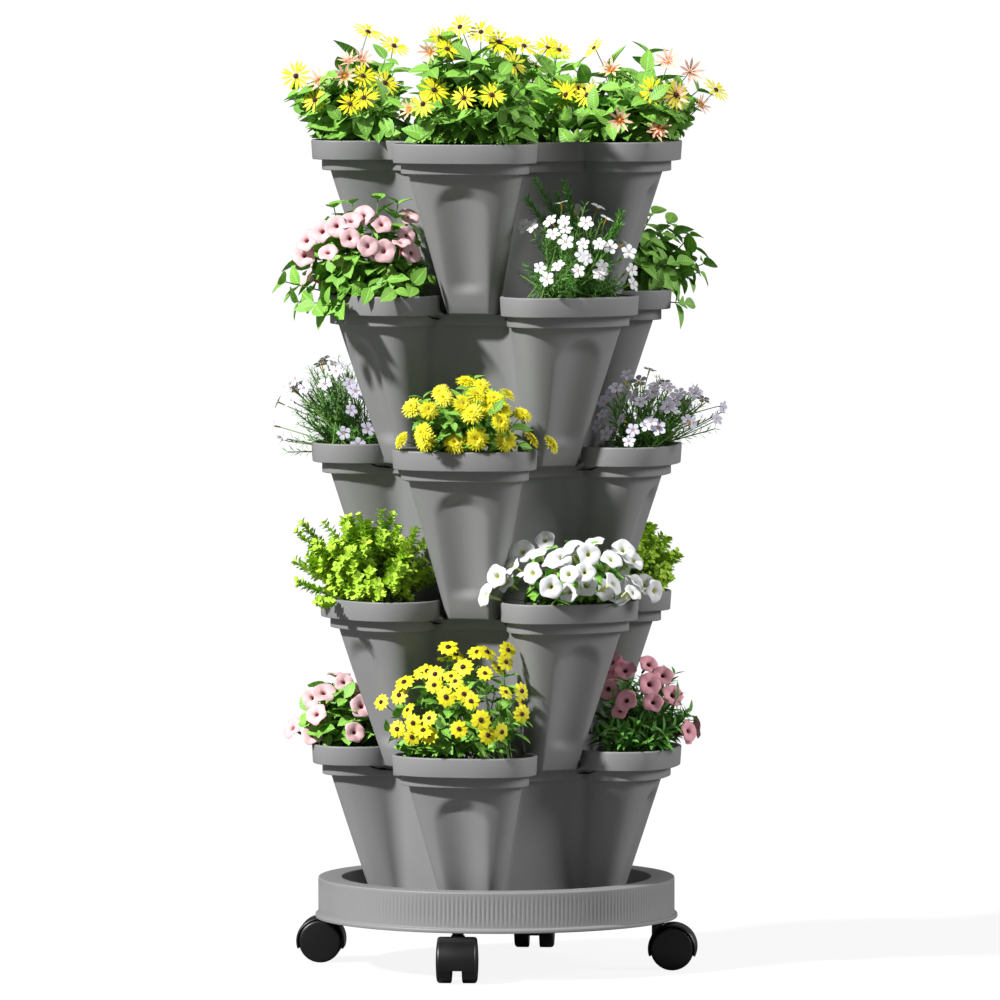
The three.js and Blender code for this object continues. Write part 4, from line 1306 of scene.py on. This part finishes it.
class Finish:
    """A procedural material: a Principled shader whose inputs come from small expressions."""

    def __init__(self, name):
        self.material = bpy.data.materials.new(name)
        self.material.use_nodes = True
        self.tree = self.material.node_tree
        self.shader = self.tree.nodes["Principled BSDF"]

    def node(self, kind, settings=None, inputs=None, output=0):
        """A new node: its settings first, then the values or links of its sockets."""
        node = self.tree.nodes.new(kind)
        for name, value in (settings or {}).items():
            setattr(node, name, value)
        for name, value in (inputs or {}).items():
            self.feed(node.inputs[name], value)
        return Value(self, node.outputs[output])

    def feed(self, socket, value):
        """Links a Value to a socket, or sets the socket to a number or colour."""
        if isinstance(value, Value):
            self.tree.links.new(value.socket, socket)
        elif socket.type == "RGBA":
            socket.default_value = (*value[:3], 1)
        else:
            socket.default_value = value

    def place(self):
        """Object coordinates."""
        return self.node("ShaderNodeTexCoord", output="Object")

    def noise(self, scale, detail=3.0, roughness=0.5):
        """Noise between 0 and 1 over Object coordinates."""
        inputs = {"Vector": self.place(), "Scale": scale, "Detail": detail, "Roughness": roughness}
        return self.node("ShaderNodeTexNoise", {}, inputs, "Fac")

    def cells(self, scale):
        """Distance to the middle of the nearest random cell."""
        return self.node("ShaderNodeTexVoronoi", {}, {"Vector": self.place(), "Scale": scale}, "Distance")

    def organ(self):
        """How far along and across a leaf or petal a point is, and the copy's chance."""
        place = self.node("ShaderNodeAttribute", {"attribute_name": "leaf"}, output="Vector")
        return [self.node("ShaderNodeSeparateXYZ", {}, {0: place}, axis) for axis in range(3)]

    def blend(self, part, first, second):
        """A colour a share of the way from the first to the second."""
        return self.node("ShaderNodeMix", {"data_type": "RGBA"}, {"Factor": part, 6: first, 7: second}, 2)

    def bump(self, height, strength, distance):
        """A normal that follows a height."""
        inputs = {"Height": height, "Strength": strength, "Distance": distance}
        return self.node("ShaderNodeBump", {}, inputs)

    def set(self, **inputs):
        """Feeds the shader: underscores in a name stand for spaces."""
        for name, value in inputs.items():
            self.feed(self.shader.inputs[name.replace("_", " ")], value)
        return self.material


def scaled(tone, factor):
    """A colour made lighter or darker."""
    return tuple(min(channel * factor, 1) for channel in tone)


def plastic_finish(colours):
    """Matte moulded plastic: a fine grain, faint flow clouds and slightly glossier patches."""
    finish = Finish("grey_moulded_plastic")
    clouds = finish.noise(9, 4)
    grain = finish.noise(2600, 2)
    tone = colours.plastic
    return finish.set(
        Base_Color=finish.blend(clouds.between(0.3, 0.7), scaled(tone, 0.96), scaled(tone, 1.04)),
        Roughness=clouds * 0.12 + grain * 0.1 + 0.42,
        Normal=finish.bump(grain, 0.12, 0.0002))


def black_finish(colours):
    """Satin black plastic with a fine grain."""
    finish = Finish("satin_black_plastic")
    grain = finish.noise(3200, 2)
    clouds = finish.noise(60, 3)
    return finish.set(
        Base_Color=finish.blend(clouds, scaled(colours.black, 0.85), scaled(colours.black, 1.2)),
        Roughness=clouds * 0.12 + 0.34,
        Normal=finish.bump(grain, 0.1, 0.0001))


def steel_finish(colours):
    """Plain turned steel with fine marks."""
    finish = Finish("turned_steel")
    marks = finish.noise(900, 2)
    return finish.set(
        Base_Color=finish.blend(marks, scaled(colours.steel, 0.9), colours.steel),
        Metallic=1.0,
        Roughness=marks * 0.2 + 0.22)


def black_steel_finish(colours):
    """Painted steel, dark and slightly worn."""
    finish = Finish("black_painted_steel")
    wear = finish.noise(500, 3)
    return finish.set(
        Base_Color=finish.blend(wear, scaled(colours.black, 0.8), scaled(colours.black, 1.8)),
        Metallic=0.2,
        Roughness=wear * 0.2 + 0.35)


def soil_finish(colours):
    """Potting soil: dark crumbs, paler bits of bark and a few white grains of perlite."""
    finish = Finish("potting_soil")
    crumbs = finish.cells(420)
    bits = finish.noise(260, 5, 0.7)
    grains = finish.cells(150).between(0.07, 0.04)
    earth = finish.blend(bits.between(0.4, 0.75), colours.earth, scaled(colours.earth, 3.2))
    return finish.set(
        Base_Color=finish.blend(grains, earth, colours.perlite),
        Roughness=0.95,
        Normal=finish.bump(crumbs + bits, 0.9, 0.002))


def leaf_finish(name, shade, bright):
    """Leaves: each copy between the tone in painted shade and the lit tone, a pale rib, side
    veins and a thin gloss."""
    finish = Finish(f"{name}_leaf")
    along, across, chance = finish.organ()
    aside = across.maths("ABSOLUTE")
    rib = aside.between(0.2, 0.03)
    veins = (along * 60 - aside * 9).maths("SINE") * 0.5 + 0.5
    patches = finish.noise(180, 3)
    # chance, which grows towards a stem's end, and patches set how much painted shade each point keeps
    base = finish.blend(chance * 0.7 + patches * 0.4, shade, bright)
    base = finish.blend(rib * 0.35, base, scaled(bright, 1.5))
    return finish.set(Base_Color=base, Roughness=patches * 0.2 + 0.4,
                      Normal=finish.bump(veins - rib, 0.35, 0.0006))


def petal_finish(name, tone, throat, throat_share):
    """Petals: the throat's tone up to a share of their length, then the petal's with fine rays."""
    finish = Finish(f"{name}_petal")
    along, across, chance = finish.organ()
    rays = finish.noise(700, 2)
    rim = finish.blend(chance * 0.5 + rays * 0.3, tone, scaled(tone, 0.84))
    base = finish.blend(along.between(throat_share * 0.4, throat_share), throat, rim)
    return finish.set(Base_Color=base, Roughness=0.62,
                      Normal=finish.bump(rays + across * 0.3, 0.25, 0.0004))


def grained_finish(name, tone):
    """Hearts and stems: one tone with small grains."""
    finish = Finish(name)
    grains = finish.cells(1800)
    base = finish.blend(grains, scaled(tone, 0.7), scaled(tone, 1.35))
    return finish.set(Base_Color=base, Roughness=0.75, Normal=finish.bump(grains, 0.5, 0.0004))


# Operators.


class PieceOperator:
    """What the operators share."""

    bl_options = {"REGISTER", "UNDO"}
    made = {}

    def finish_made(self, maker):
        """The material that a maker gives, made once."""
        if maker not in self.made:
            self.made[maker] = maker(bpy.context.scene.tower_colours)
        return self.made[maker]


class TOWER_OT_planters(PieceOperator, bpy.types.Operator):
    """Builds the five planters as thin moulded shells"""

    bl_idname = "tower.planters"
    bl_label = "Planters"

    def execute(self, context):
        sizes = context.scene.tower_planter
        _, _, pitch = tier_place(1)
        notched = planter_mesh(sizes, pitch, True)
        whole = planter_mesh(sizes, pitch, False)
        for tier in range(1, TIERS + 1):
            angle, rise, _ = tier_place(tier)
            mesh = moved_copy(whole if tier == TIERS else notched, f"tier_{tier}_shell", angle, rise)
            placed(mesh, f"tier_{tier}", [self.finish_made(plastic_finish)],
                   [f"tier_{tier}_planter"])
        return {"FINISHED"}


class TOWER_OT_soil(PieceOperator, bpy.types.Operator):
    """Fills each planter with lumpy potting soil"""

    bl_idname = "tower.soil"
    bl_label = "Soil"

    def execute(self, context):
        sizes = context.scene.tower_planter
        for tier in range(1, TIERS + 1):
            angle, rise, pitch = tier_place(tier)
            rows, middle = soil_rows(sizes, pitch, tier == TIERS, tier)
            surface = Surface()
            surface.ring_grid(turned_about_z(rows, angle) + (0, 0, rise),
                              (0, 0, rise + sizes.wall + sizes.soil_gap), (0, 0, rise + middle))
            placed(surface.mesh(f"tier_{tier}_potting_soil"), f"tier_{tier}",
                   [self.finish_made(soil_finish)], [f"tier_{tier}_soil"])
        return {"FINISHED"}


def tray_profile(sizes, low, high):
    """The (radius, height) points of half the tray's section, from the middle of its underside
    out and back to the middle of its floor, and the first and last point of the ribbed wall."""
    inside = sizes.ring_inner_radius
    ring = high.x - sizes.lip_width
    lip_top = low.z + sizes.lip_height
    channel = (inside + sizes.wall, ring - sizes.wall)
    ceiling = high.z - sizes.wall
    floor = low.z + sizes.floor
    edge = sizes.edge_radius
    lip_edge = sizes.lip_height * 0.4
    profile = [(0, low.z), *((part * channel[0], low.z) for part in np.linspace(0.1, 1, 3))]
    profile += [(channel[0], ceiling), (channel[1], ceiling), (channel[1], low.z)]
    profile += arc((high.x - lip_edge / 2, low.z + lip_edge / 2), lip_edge / 2, -90, 0, 4)
    profile += arc((high.x - lip_edge, lip_top - lip_edge), lip_edge, 0, 90, 4)
    profile += arc((ring + edge / 2, lip_top + edge / 2), edge / 2, -90, -180, 4)
    wall = np.linspace(lip_top + sizes.rib_margin, high.z - edge - sizes.rib_margin, 6)
    first_rib = len(profile)
    profile += [(ring, height) for height in wall]
    last_rib = len(profile) - 1
    profile += arc((ring - edge, high.z - edge), edge, 0, 90)
    profile += arc((inside + edge, high.z - edge), edge, 90, 180)
    profile += arc((inside - 2 * edge, floor + 2 * edge), 2 * edge, 0, -90)
    profile += [*((part * inside, floor) for part in np.linspace(0.95, 0.1, 3)), (0, floor)]
    return profile, first_rib, last_rib


class TOWER_OT_tray(PieceOperator, bpy.types.Operator):
    """Builds the rolling tray with its ribbed ring, lip and caster sockets"""

    bl_idname = "tower.tray"
    bl_label = "Rolling tray"

    def execute(self, context):
        sizes = context.scene.tower_tray
        caster = context.scene.tower_caster
        low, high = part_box("rolling_tray")
        profile, first_rib, last_rib = tray_profile(sizes, low, high)
        columns = sizes.ribs * 8
        rib = (0.5 + 0.5 * np.cos(sizes.ribs * round_angles(columns))) ** 0.8 * sizes.rib_depth
        rows = np.arange(1, len(profile) - 1)
        ribbed = (rows > first_rib) & (rows < last_rib)
        surface = Surface()
        surface.lathe(profile, columns, ribbed[:, None] * (rib - sizes.rib_depth))
        bore = caster.stem_radius + caster.fit_gap
        outer = bore + sizes.socket_wall
        top = low.z + caster.stem_length + caster.fit_gap
        joined = high.z - sizes.wall / 2
        socket = [(0, top), (bore, top), (bore, low.z), (outer, low.z), (outer, joined), (0, joined)]
        middle = (sizes.ring_inner_radius + high.x - sizes.lip_width) / 2
        for origin in polar(middle, round_angles(LOBES)):
            surface.lathe(socket, 40, origin=origin)
        placed(surface.mesh("ribbed_tray"), "root", [self.finish_made(plastic_finish)],
               ["rolling_tray"])
        return {"FINISHED"}


# Lays a form that was turned about Z along Y instead.
LYING = np.array([[1, 0, 0], [0, 0, 1], [0, -1, 0]])

# The order of coordinates that stands a level circle upright.
UPRIGHT = [0, 2, 1]


def wheel_profile(sizes):
    """Half the section of a wheel as (radius, distance from the caster's middle): bore, inner
    face, tread with round edges and domed outer face."""
    inner = sizes.wheel_gap / 2
    outer = inner + sizes.wheel_width
    radius = sizes.wheel_radius
    bevel = sizes.wheel_bevel
    bore = sizes.axle_radius + sizes.fit_gap
    bore_end = inner + sizes.axle_in_wheel + sizes.fit_gap
    small = bevel / 3
    profile = [(0, bore_end), (bore, bore_end), (bore, inner)]
    profile += arc((radius - small, inner + small), small, -90, 0, 5)
    profile += arc((radius - bevel, outer - bevel), bevel, 0, 84, 8)
    face = radius - bevel
    dome = [(face * part, outer + sizes.wheel_dome * (1 - part**2)) for part in np.linspace(0.9, 0.1, 7)]
    return profile + dome + [(0, outer + sizes.wheel_dome)]


def hood_surface(sizes):
    """The hood in the caster's frame: a curved cover swept round the axle, whose side edges bend
    inwards, the middle web with its level lower edge and axle hole, and the boss for the pin."""
    surface = Surface()
    side = sizes.hood_width / 2
    inner = sizes.wheel_radius + sizes.wheel_clearance
    outer = inner + sizes.hood_wall
    axle = np.array([sizes.trail, 0, sizes.wheel_radius])
    bend = sizes.wheel_bevel
    inner_bend = bend - sizes.hood_wall
    upper = np.array(arc((outer - bend, side - bend), bend, 0, 62))
    lower = np.array(arc((inner - inner_bend, side - bend), inner_bend, 0, 62))
    section = np.concatenate([upper, lower[::-1], lower * (1, -1), (upper * (1, -1))[::-1]])
    start = -math.asin(sizes.hood_drop / outer)
    angle = np.linspace(start, math.pi - start, 49)[:, None]
    rows = polar(section[:, 0], angle, section[:, 1])[:, ::-1, UPRIGHT]
    middle = section.mean(0)
    ends = polar(middle[0], angle[[0, -1], 0], middle[1])[:, UPRIGHT]
    surface.ring_grid(rows + axle, *(ends + axle))

    angle = round_angles(72)
    rim = polar((inner + outer) / 2, angle)[:, UPRIGHT]
    rim[:, 2] = np.maximum(rim[:, 2], -sizes.hood_drop)
    hole = polar(sizes.axle_radius + sizes.fit_gap, angle)[:, UPRIGHT]
    across = np.array([0, sizes.wheel_gap / 2 - sizes.web_clearance, 0])
    loops = np.stack([hole + across, rim + across, rim - across, hole - across])
    surface.ring_grid(loops[:, ::-1] + axle)

    foot, top, boss = sizes.wheel_radius, sizes.wheel_radius + outer, sizes.boss_radius
    bore = sizes.pin_radius + sizes.fit_gap
    bore_bottom = top - sizes.pin_length - sizes.fit_gap
    edge = sizes.hood_wall / 2
    surface.lathe([
        (0, foot), (boss, foot), *arc((boss - edge, top - edge), edge, 0, 90),
        (bore, top), (bore, bore_bottom), (0, bore_bottom),
    ], 40)
    return surface


def stem_profile(sizes, tray):
    """Half the section of a stem: pin, collar and the part in the tray's socket."""
    top = 2 * sizes.wheel_radius + sizes.wheel_clearance + sizes.hood_wall
    collar_low = top + sizes.seat_gap
    collar_high = tray - sizes.seat_gap
    chamfer = sizes.fit_gap
    end = tray + sizes.stem_length
    return [
        (0, top - sizes.pin_length), (sizes.pin_radius, top - sizes.pin_length),
        (sizes.pin_radius, collar_low), (sizes.collar_radius - chamfer, collar_low),
        (sizes.collar_radius, collar_low + chamfer), (sizes.collar_radius, collar_high - chamfer),
        (sizes.collar_radius - chamfer, collar_high), (sizes.stem_radius, collar_high),
        (sizes.stem_radius, end - 3 * chamfer), (sizes.stem_radius - 3 * chamfer, end), (0, end),
    ]


class TOWER_OT_plants(PieceOperator, bpy.types.Operator):
    """Grows the flowers and herbs of every pocket"""

    bl_idname = "tower.plants"
    bl_label = "Plants"

    def execute(self, context):
        sizes = context.scene.tower_plant
        planter = context.scene.tower_planter
        stage = context.scene.tower_stage
        finishes = self.finishes(context.scene.tower_plant_colours)
        kinds = growths(sizes)
        for number, (name, tier, side, kind, further, stands) in enumerate(PLANTED):
            pocket = Pocket(tier, side, planter, number)
            pixels = SEEN.get(name, ()), SHOOTS.get(name, ())
            surface = grown(pocket, kinds[kind], *pixels, further, stage, sizes)
            placed(surface.mesh(f"tier_{tier}_{name}"), pocket.body, finishes[kind],
                   [pocket.node] if stands else (), crease=math.radians(60))
        return {"FINISHED"}

    @staticmethod
    def finishes(tones):
        """The materials of leaf, stem, petal and heart for each kind of plant."""
        stem = grained_finish("plant_stem", tones.stem_green)
        brown = grained_finish("brown_heart", tones.brown_heart)
        orange = grained_finish("orange_heart", tones.orange_heart)
        bright = leaf_finish("bright", tones.shade_leaf, tones.bright_leaf)
        needles = leaf_finish("needle", tones.dark_needle, tones.needle_leaf)
        box = leaf_finish("box", tones.box_shade, tones.lime_leaf)
        yellow = petal_finish("yellow", tones.yellow, tones.deep_yellow, 0.25)
        peach = petal_finish("peach", tones.peach, tones.peach_throat, 0.4)
        pink = petal_finish("pink", tones.pink, tones.throat, 0.26)
        rose = petal_finish("rose", tones.rose, tones.rose_throat, 0.28)
        white = petal_finish("white", tones.white, tones.green_throat, 0.32)
        snow = petal_finish("snow", tones.white, tones.lilac, 0.25)
        lilac = petal_finish("lilac", tones.lilac, tones.lilac_throat, 0.25)
        return {
            "daisy": [bright, stem, yellow, brown],
            "rudbeckia": [bright, stem, yellow, brown],
            "mum": [bright, stem, yellow, orange],
            "star": [bright, stem, peach, orange],
            "pink": [bright, stem, pink, brown],
            "rose": [needles, stem, rose, brown],
            "white": [bright, stem, white, orange],
            "phlox": [needles, stem, snow, orange],
            "lilac": [needles, stem, lilac, orange],
            "rosemary": [needles, stem, snow, orange],
            "mint": [bright, stem, white, orange],
            "box": [box, stem, yellow, orange],
        }


def box_middle(node):
    """The middle of a CAD node's box."""
    return np.mean(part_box(node), 0)


class TOWER_OT_casters(PieceOperator, bpy.types.Operator):
    """Builds the casters with domed wheels, rounded hoods and stems"""

    bl_idname = "tower.casters"
    bl_label = "Casters"

    def execute(self, context):
        sizes = context.scene.tower_caster
        black = self.finish_made(black_finish)
        painted = self.finish_made(black_steel_finish)
        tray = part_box("rolling_tray")[0].z
        for side in CASTER_SIDES:
            name = f"caster_{side}"
            stem = box_middle(f"{name}_stem") * (1, 1, 0)
            ahead = box_middle(f"{name}_axle") - stem
            turned = turn_matrix(math.atan2(ahead[1], ahead[0]))
            axle = turned @ (sizes.trail, 0, sizes.wheel_radius) + stem
            for wheel in ("left", "right"):
                node = f"{name}_{wheel}_wheel"
                way = math.copysign(1, (box_middle(node) - axle) @ turned[:, 1])
                matrix = turned @ LYING @ np.diag([1, way, way])
                surface = Surface()
                surface.lathe(wheel_profile(sizes), 64, matrix=matrix, origin=axle)
                placed(surface.mesh(f"{node}_disc"), node, [black], [node])
            hood = hood_surface(sizes)
            hood.points = [points @ turned.T + stem for points in hood.points]
            placed(hood.mesh(f"{name}_cover"), name, [black], [f"{name}_hood"])
            surface = Surface()
            surface.lathe(stem_profile(sizes, tray), 40, origin=stem)
            placed(surface.mesh(f"{name}_grip_stem"), "root", [painted], [f"{name}_stem"])
            axle_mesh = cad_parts[f"{name}_axle"].data
            axle_mesh.materials.clear()
            axle_mesh.materials.append(self.finish_made(steel_finish))
        return {"FINISHED"}


def floor_finish(colours, white_share):
    """Pale floor, brightened to white where the camera sees it, that lights the object little."""
    finish = Finish("pale_floor")
    seen = finish.node("ShaderNodeLightPath", output="Is Camera Ray")
    finish.set(Base_Color=finish.blend(seen, colours.floor, colours.seen_floor), Roughness=0.9)
    white = finish.node("ShaderNodeEmission", {}, {"Color": (1, 1, 1), "Strength": 1.0})
    plain = Value(finish, finish.shader.outputs[0])
    look = finish.node("ShaderNodeMixShader", {}, {"Fac": seen * white_share, 1: plain, 2: white})
    finish.feed(finish.tree.nodes["Material Output"].inputs["Surface"], look)
    return finish.material


class TOWER_OT_stage(PieceOperator, bpy.types.Operator):
    """Sets the camera, the lights and the pale floor"""

    bl_idname = "tower.stage"
    bl_label = "Stage"

    def execute(self, context):
        sizes = context.scene.tower_stage
        self.floor(context, sizes)
        self.camera(context, sizes)
        self.lights(sizes)
        self.world(context, sizes)
        context.scene.view_settings.view_transform = "Standard"
        return {"FINISHED"}

    @staticmethod
    def floor(context, sizes):
        """A wide square floor under the casters."""
        mesh = bpy.data.meshes.new("floor")
        corners = [(-1, -1), (1, -1), (1, 1), (-1, 1)]
        reach = sizes.floor_reach
        mesh.from_pydata([(x * reach, y * reach, 0) for x, y in corners], [], [(0, 1, 2, 3)])
        mesh.materials.append(floor_finish(context.scene.tower_colours, sizes.white_share))
        floor = linked("floor", mesh)

    @staticmethod
    def camera(context, sizes):
        """The camera stands to the right of the front and looks at the axis."""
        data = bpy.data.cameras.new("camera")
        camera = linked("camera", data)
        place, ahead, _, _ = camera_axes(sizes)
        camera.location = place
        camera.rotation_euler = Vector(ahead).to_track_quat("-Z", "Y").to_euler()
        data.sensor_fit = "HORIZONTAL"
        data.angle = 2 * math.atan(sizes.picture_width / 2 / np.linalg.norm(ahead))
        data.clip_end = sizes.view_reach
        context.scene.camera = camera

    @staticmethod
    def lights(sizes):
        """A key light from the left front and a soft, weaker one from the right."""
        for name, angle in (("key", -sizes.key_turn), ("side", sizes.side_turn)):
            data = bpy.data.lights.new(name, "SUN")
            data.energy = getattr(sizes, f"{name}_strength")
            data.angle = getattr(sizes, f"{name}_softness")
            rise = getattr(sizes, f"{name}_rise")
            light = linked(name, data)
            level = math.cos(rise)
            away = Vector((math.sin(angle) * level, -math.cos(angle) * level, math.sin(rise)))
            light.rotation_euler = away.to_track_quat("Z", "Y").to_euler()

    @staticmethod
    def world(context, sizes):
        """Even grey light from all sides, which the camera sees as white."""
        world = bpy.data.worlds.new("studio")
        world.use_nodes = True
        tree = world.node_tree
        plain = tree.nodes["Background"]
        plain.inputs["Color"].default_value = (1, 1, 1, 1)
        plain.inputs["Strength"].default_value = sizes.fill_strength
        white = tree.nodes.new("ShaderNodeBackground")
        rays = tree.nodes.new("ShaderNodeLightPath")
        mix = tree.nodes.new("ShaderNodeMixShader")
        tree.links.new(rays.outputs["Is Camera Ray"], mix.inputs["Fac"])
        tree.links.new(plain.outputs[0], mix.inputs[1])
        tree.links.new(white.outputs[0], mix.inputs[2])
        white.inputs["Color"].default_value = (1, 1, 1, 1)
        tree.links.new(mix.outputs[0], tree.nodes["World Output"].inputs["Surface"])
        context.scene.world = world


class TOWER_PT_panel(bpy.types.Panel):
    """Lists the operators in the sidebar"""

    bl_idname = "TOWER_PT_panel"
    bl_label = "Planter tower"
    bl_space_type = "VIEW_3D"
    bl_region_type = "UI"
    bl_category = "Planter tower"

    def draw(self, context):
        for operator in OPERATORS:
            self.layout.operator(operator.bl_idname)
        for name in GROUPS:
            box = self.layout.box()
            group = getattr(context.scene, name)
            for size in group.bl_rna.properties.keys():
                if size not in ("rna_type", "name"):
                    box.prop(group, size)


OPERATORS = (TOWER_OT_planters, TOWER_OT_soil, TOWER_OT_tray, TOWER_OT_casters, TOWER_OT_plants,
             TOWER_OT_stage)
GROUPS = {
    "tower_planter": PlanterSizes,
    "tower_tray": TraySizes,
    "tower_caster": CasterSizes,
    "tower_plant": PlantSizes,
    "tower_colours": FinishColours,
    "tower_plant_colours": PlantColours,
    "tower_stage": StageSizes,
}


def register():
    """Registers the classes and puts the sizes on the scene."""
    for one in (*GROUPS.values(), *OPERATORS, TOWER_PT_panel):
        bpy.utils.register_class(one)
    for name, group in GROUPS.items():
        setattr(bpy.types.Scene, name, PointerProperty(type=group))


def unregister():
    """Takes away what register made."""
    for name in GROUPS:
        delattr(bpy.types.Scene, name)
    for one in reversed((*GROUPS.values(), *OPERATORS, TOWER_PT_panel)):
        bpy.utils.unregister_class(one)


def main():
    """Builds everything."""
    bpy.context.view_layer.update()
    register()
    for operator in OPERATORS:
        group, name = operator.bl_idname.split(".")
        getattr(getattr(bpy.ops, group), name)()


if __name__ == "__main__":
    main()
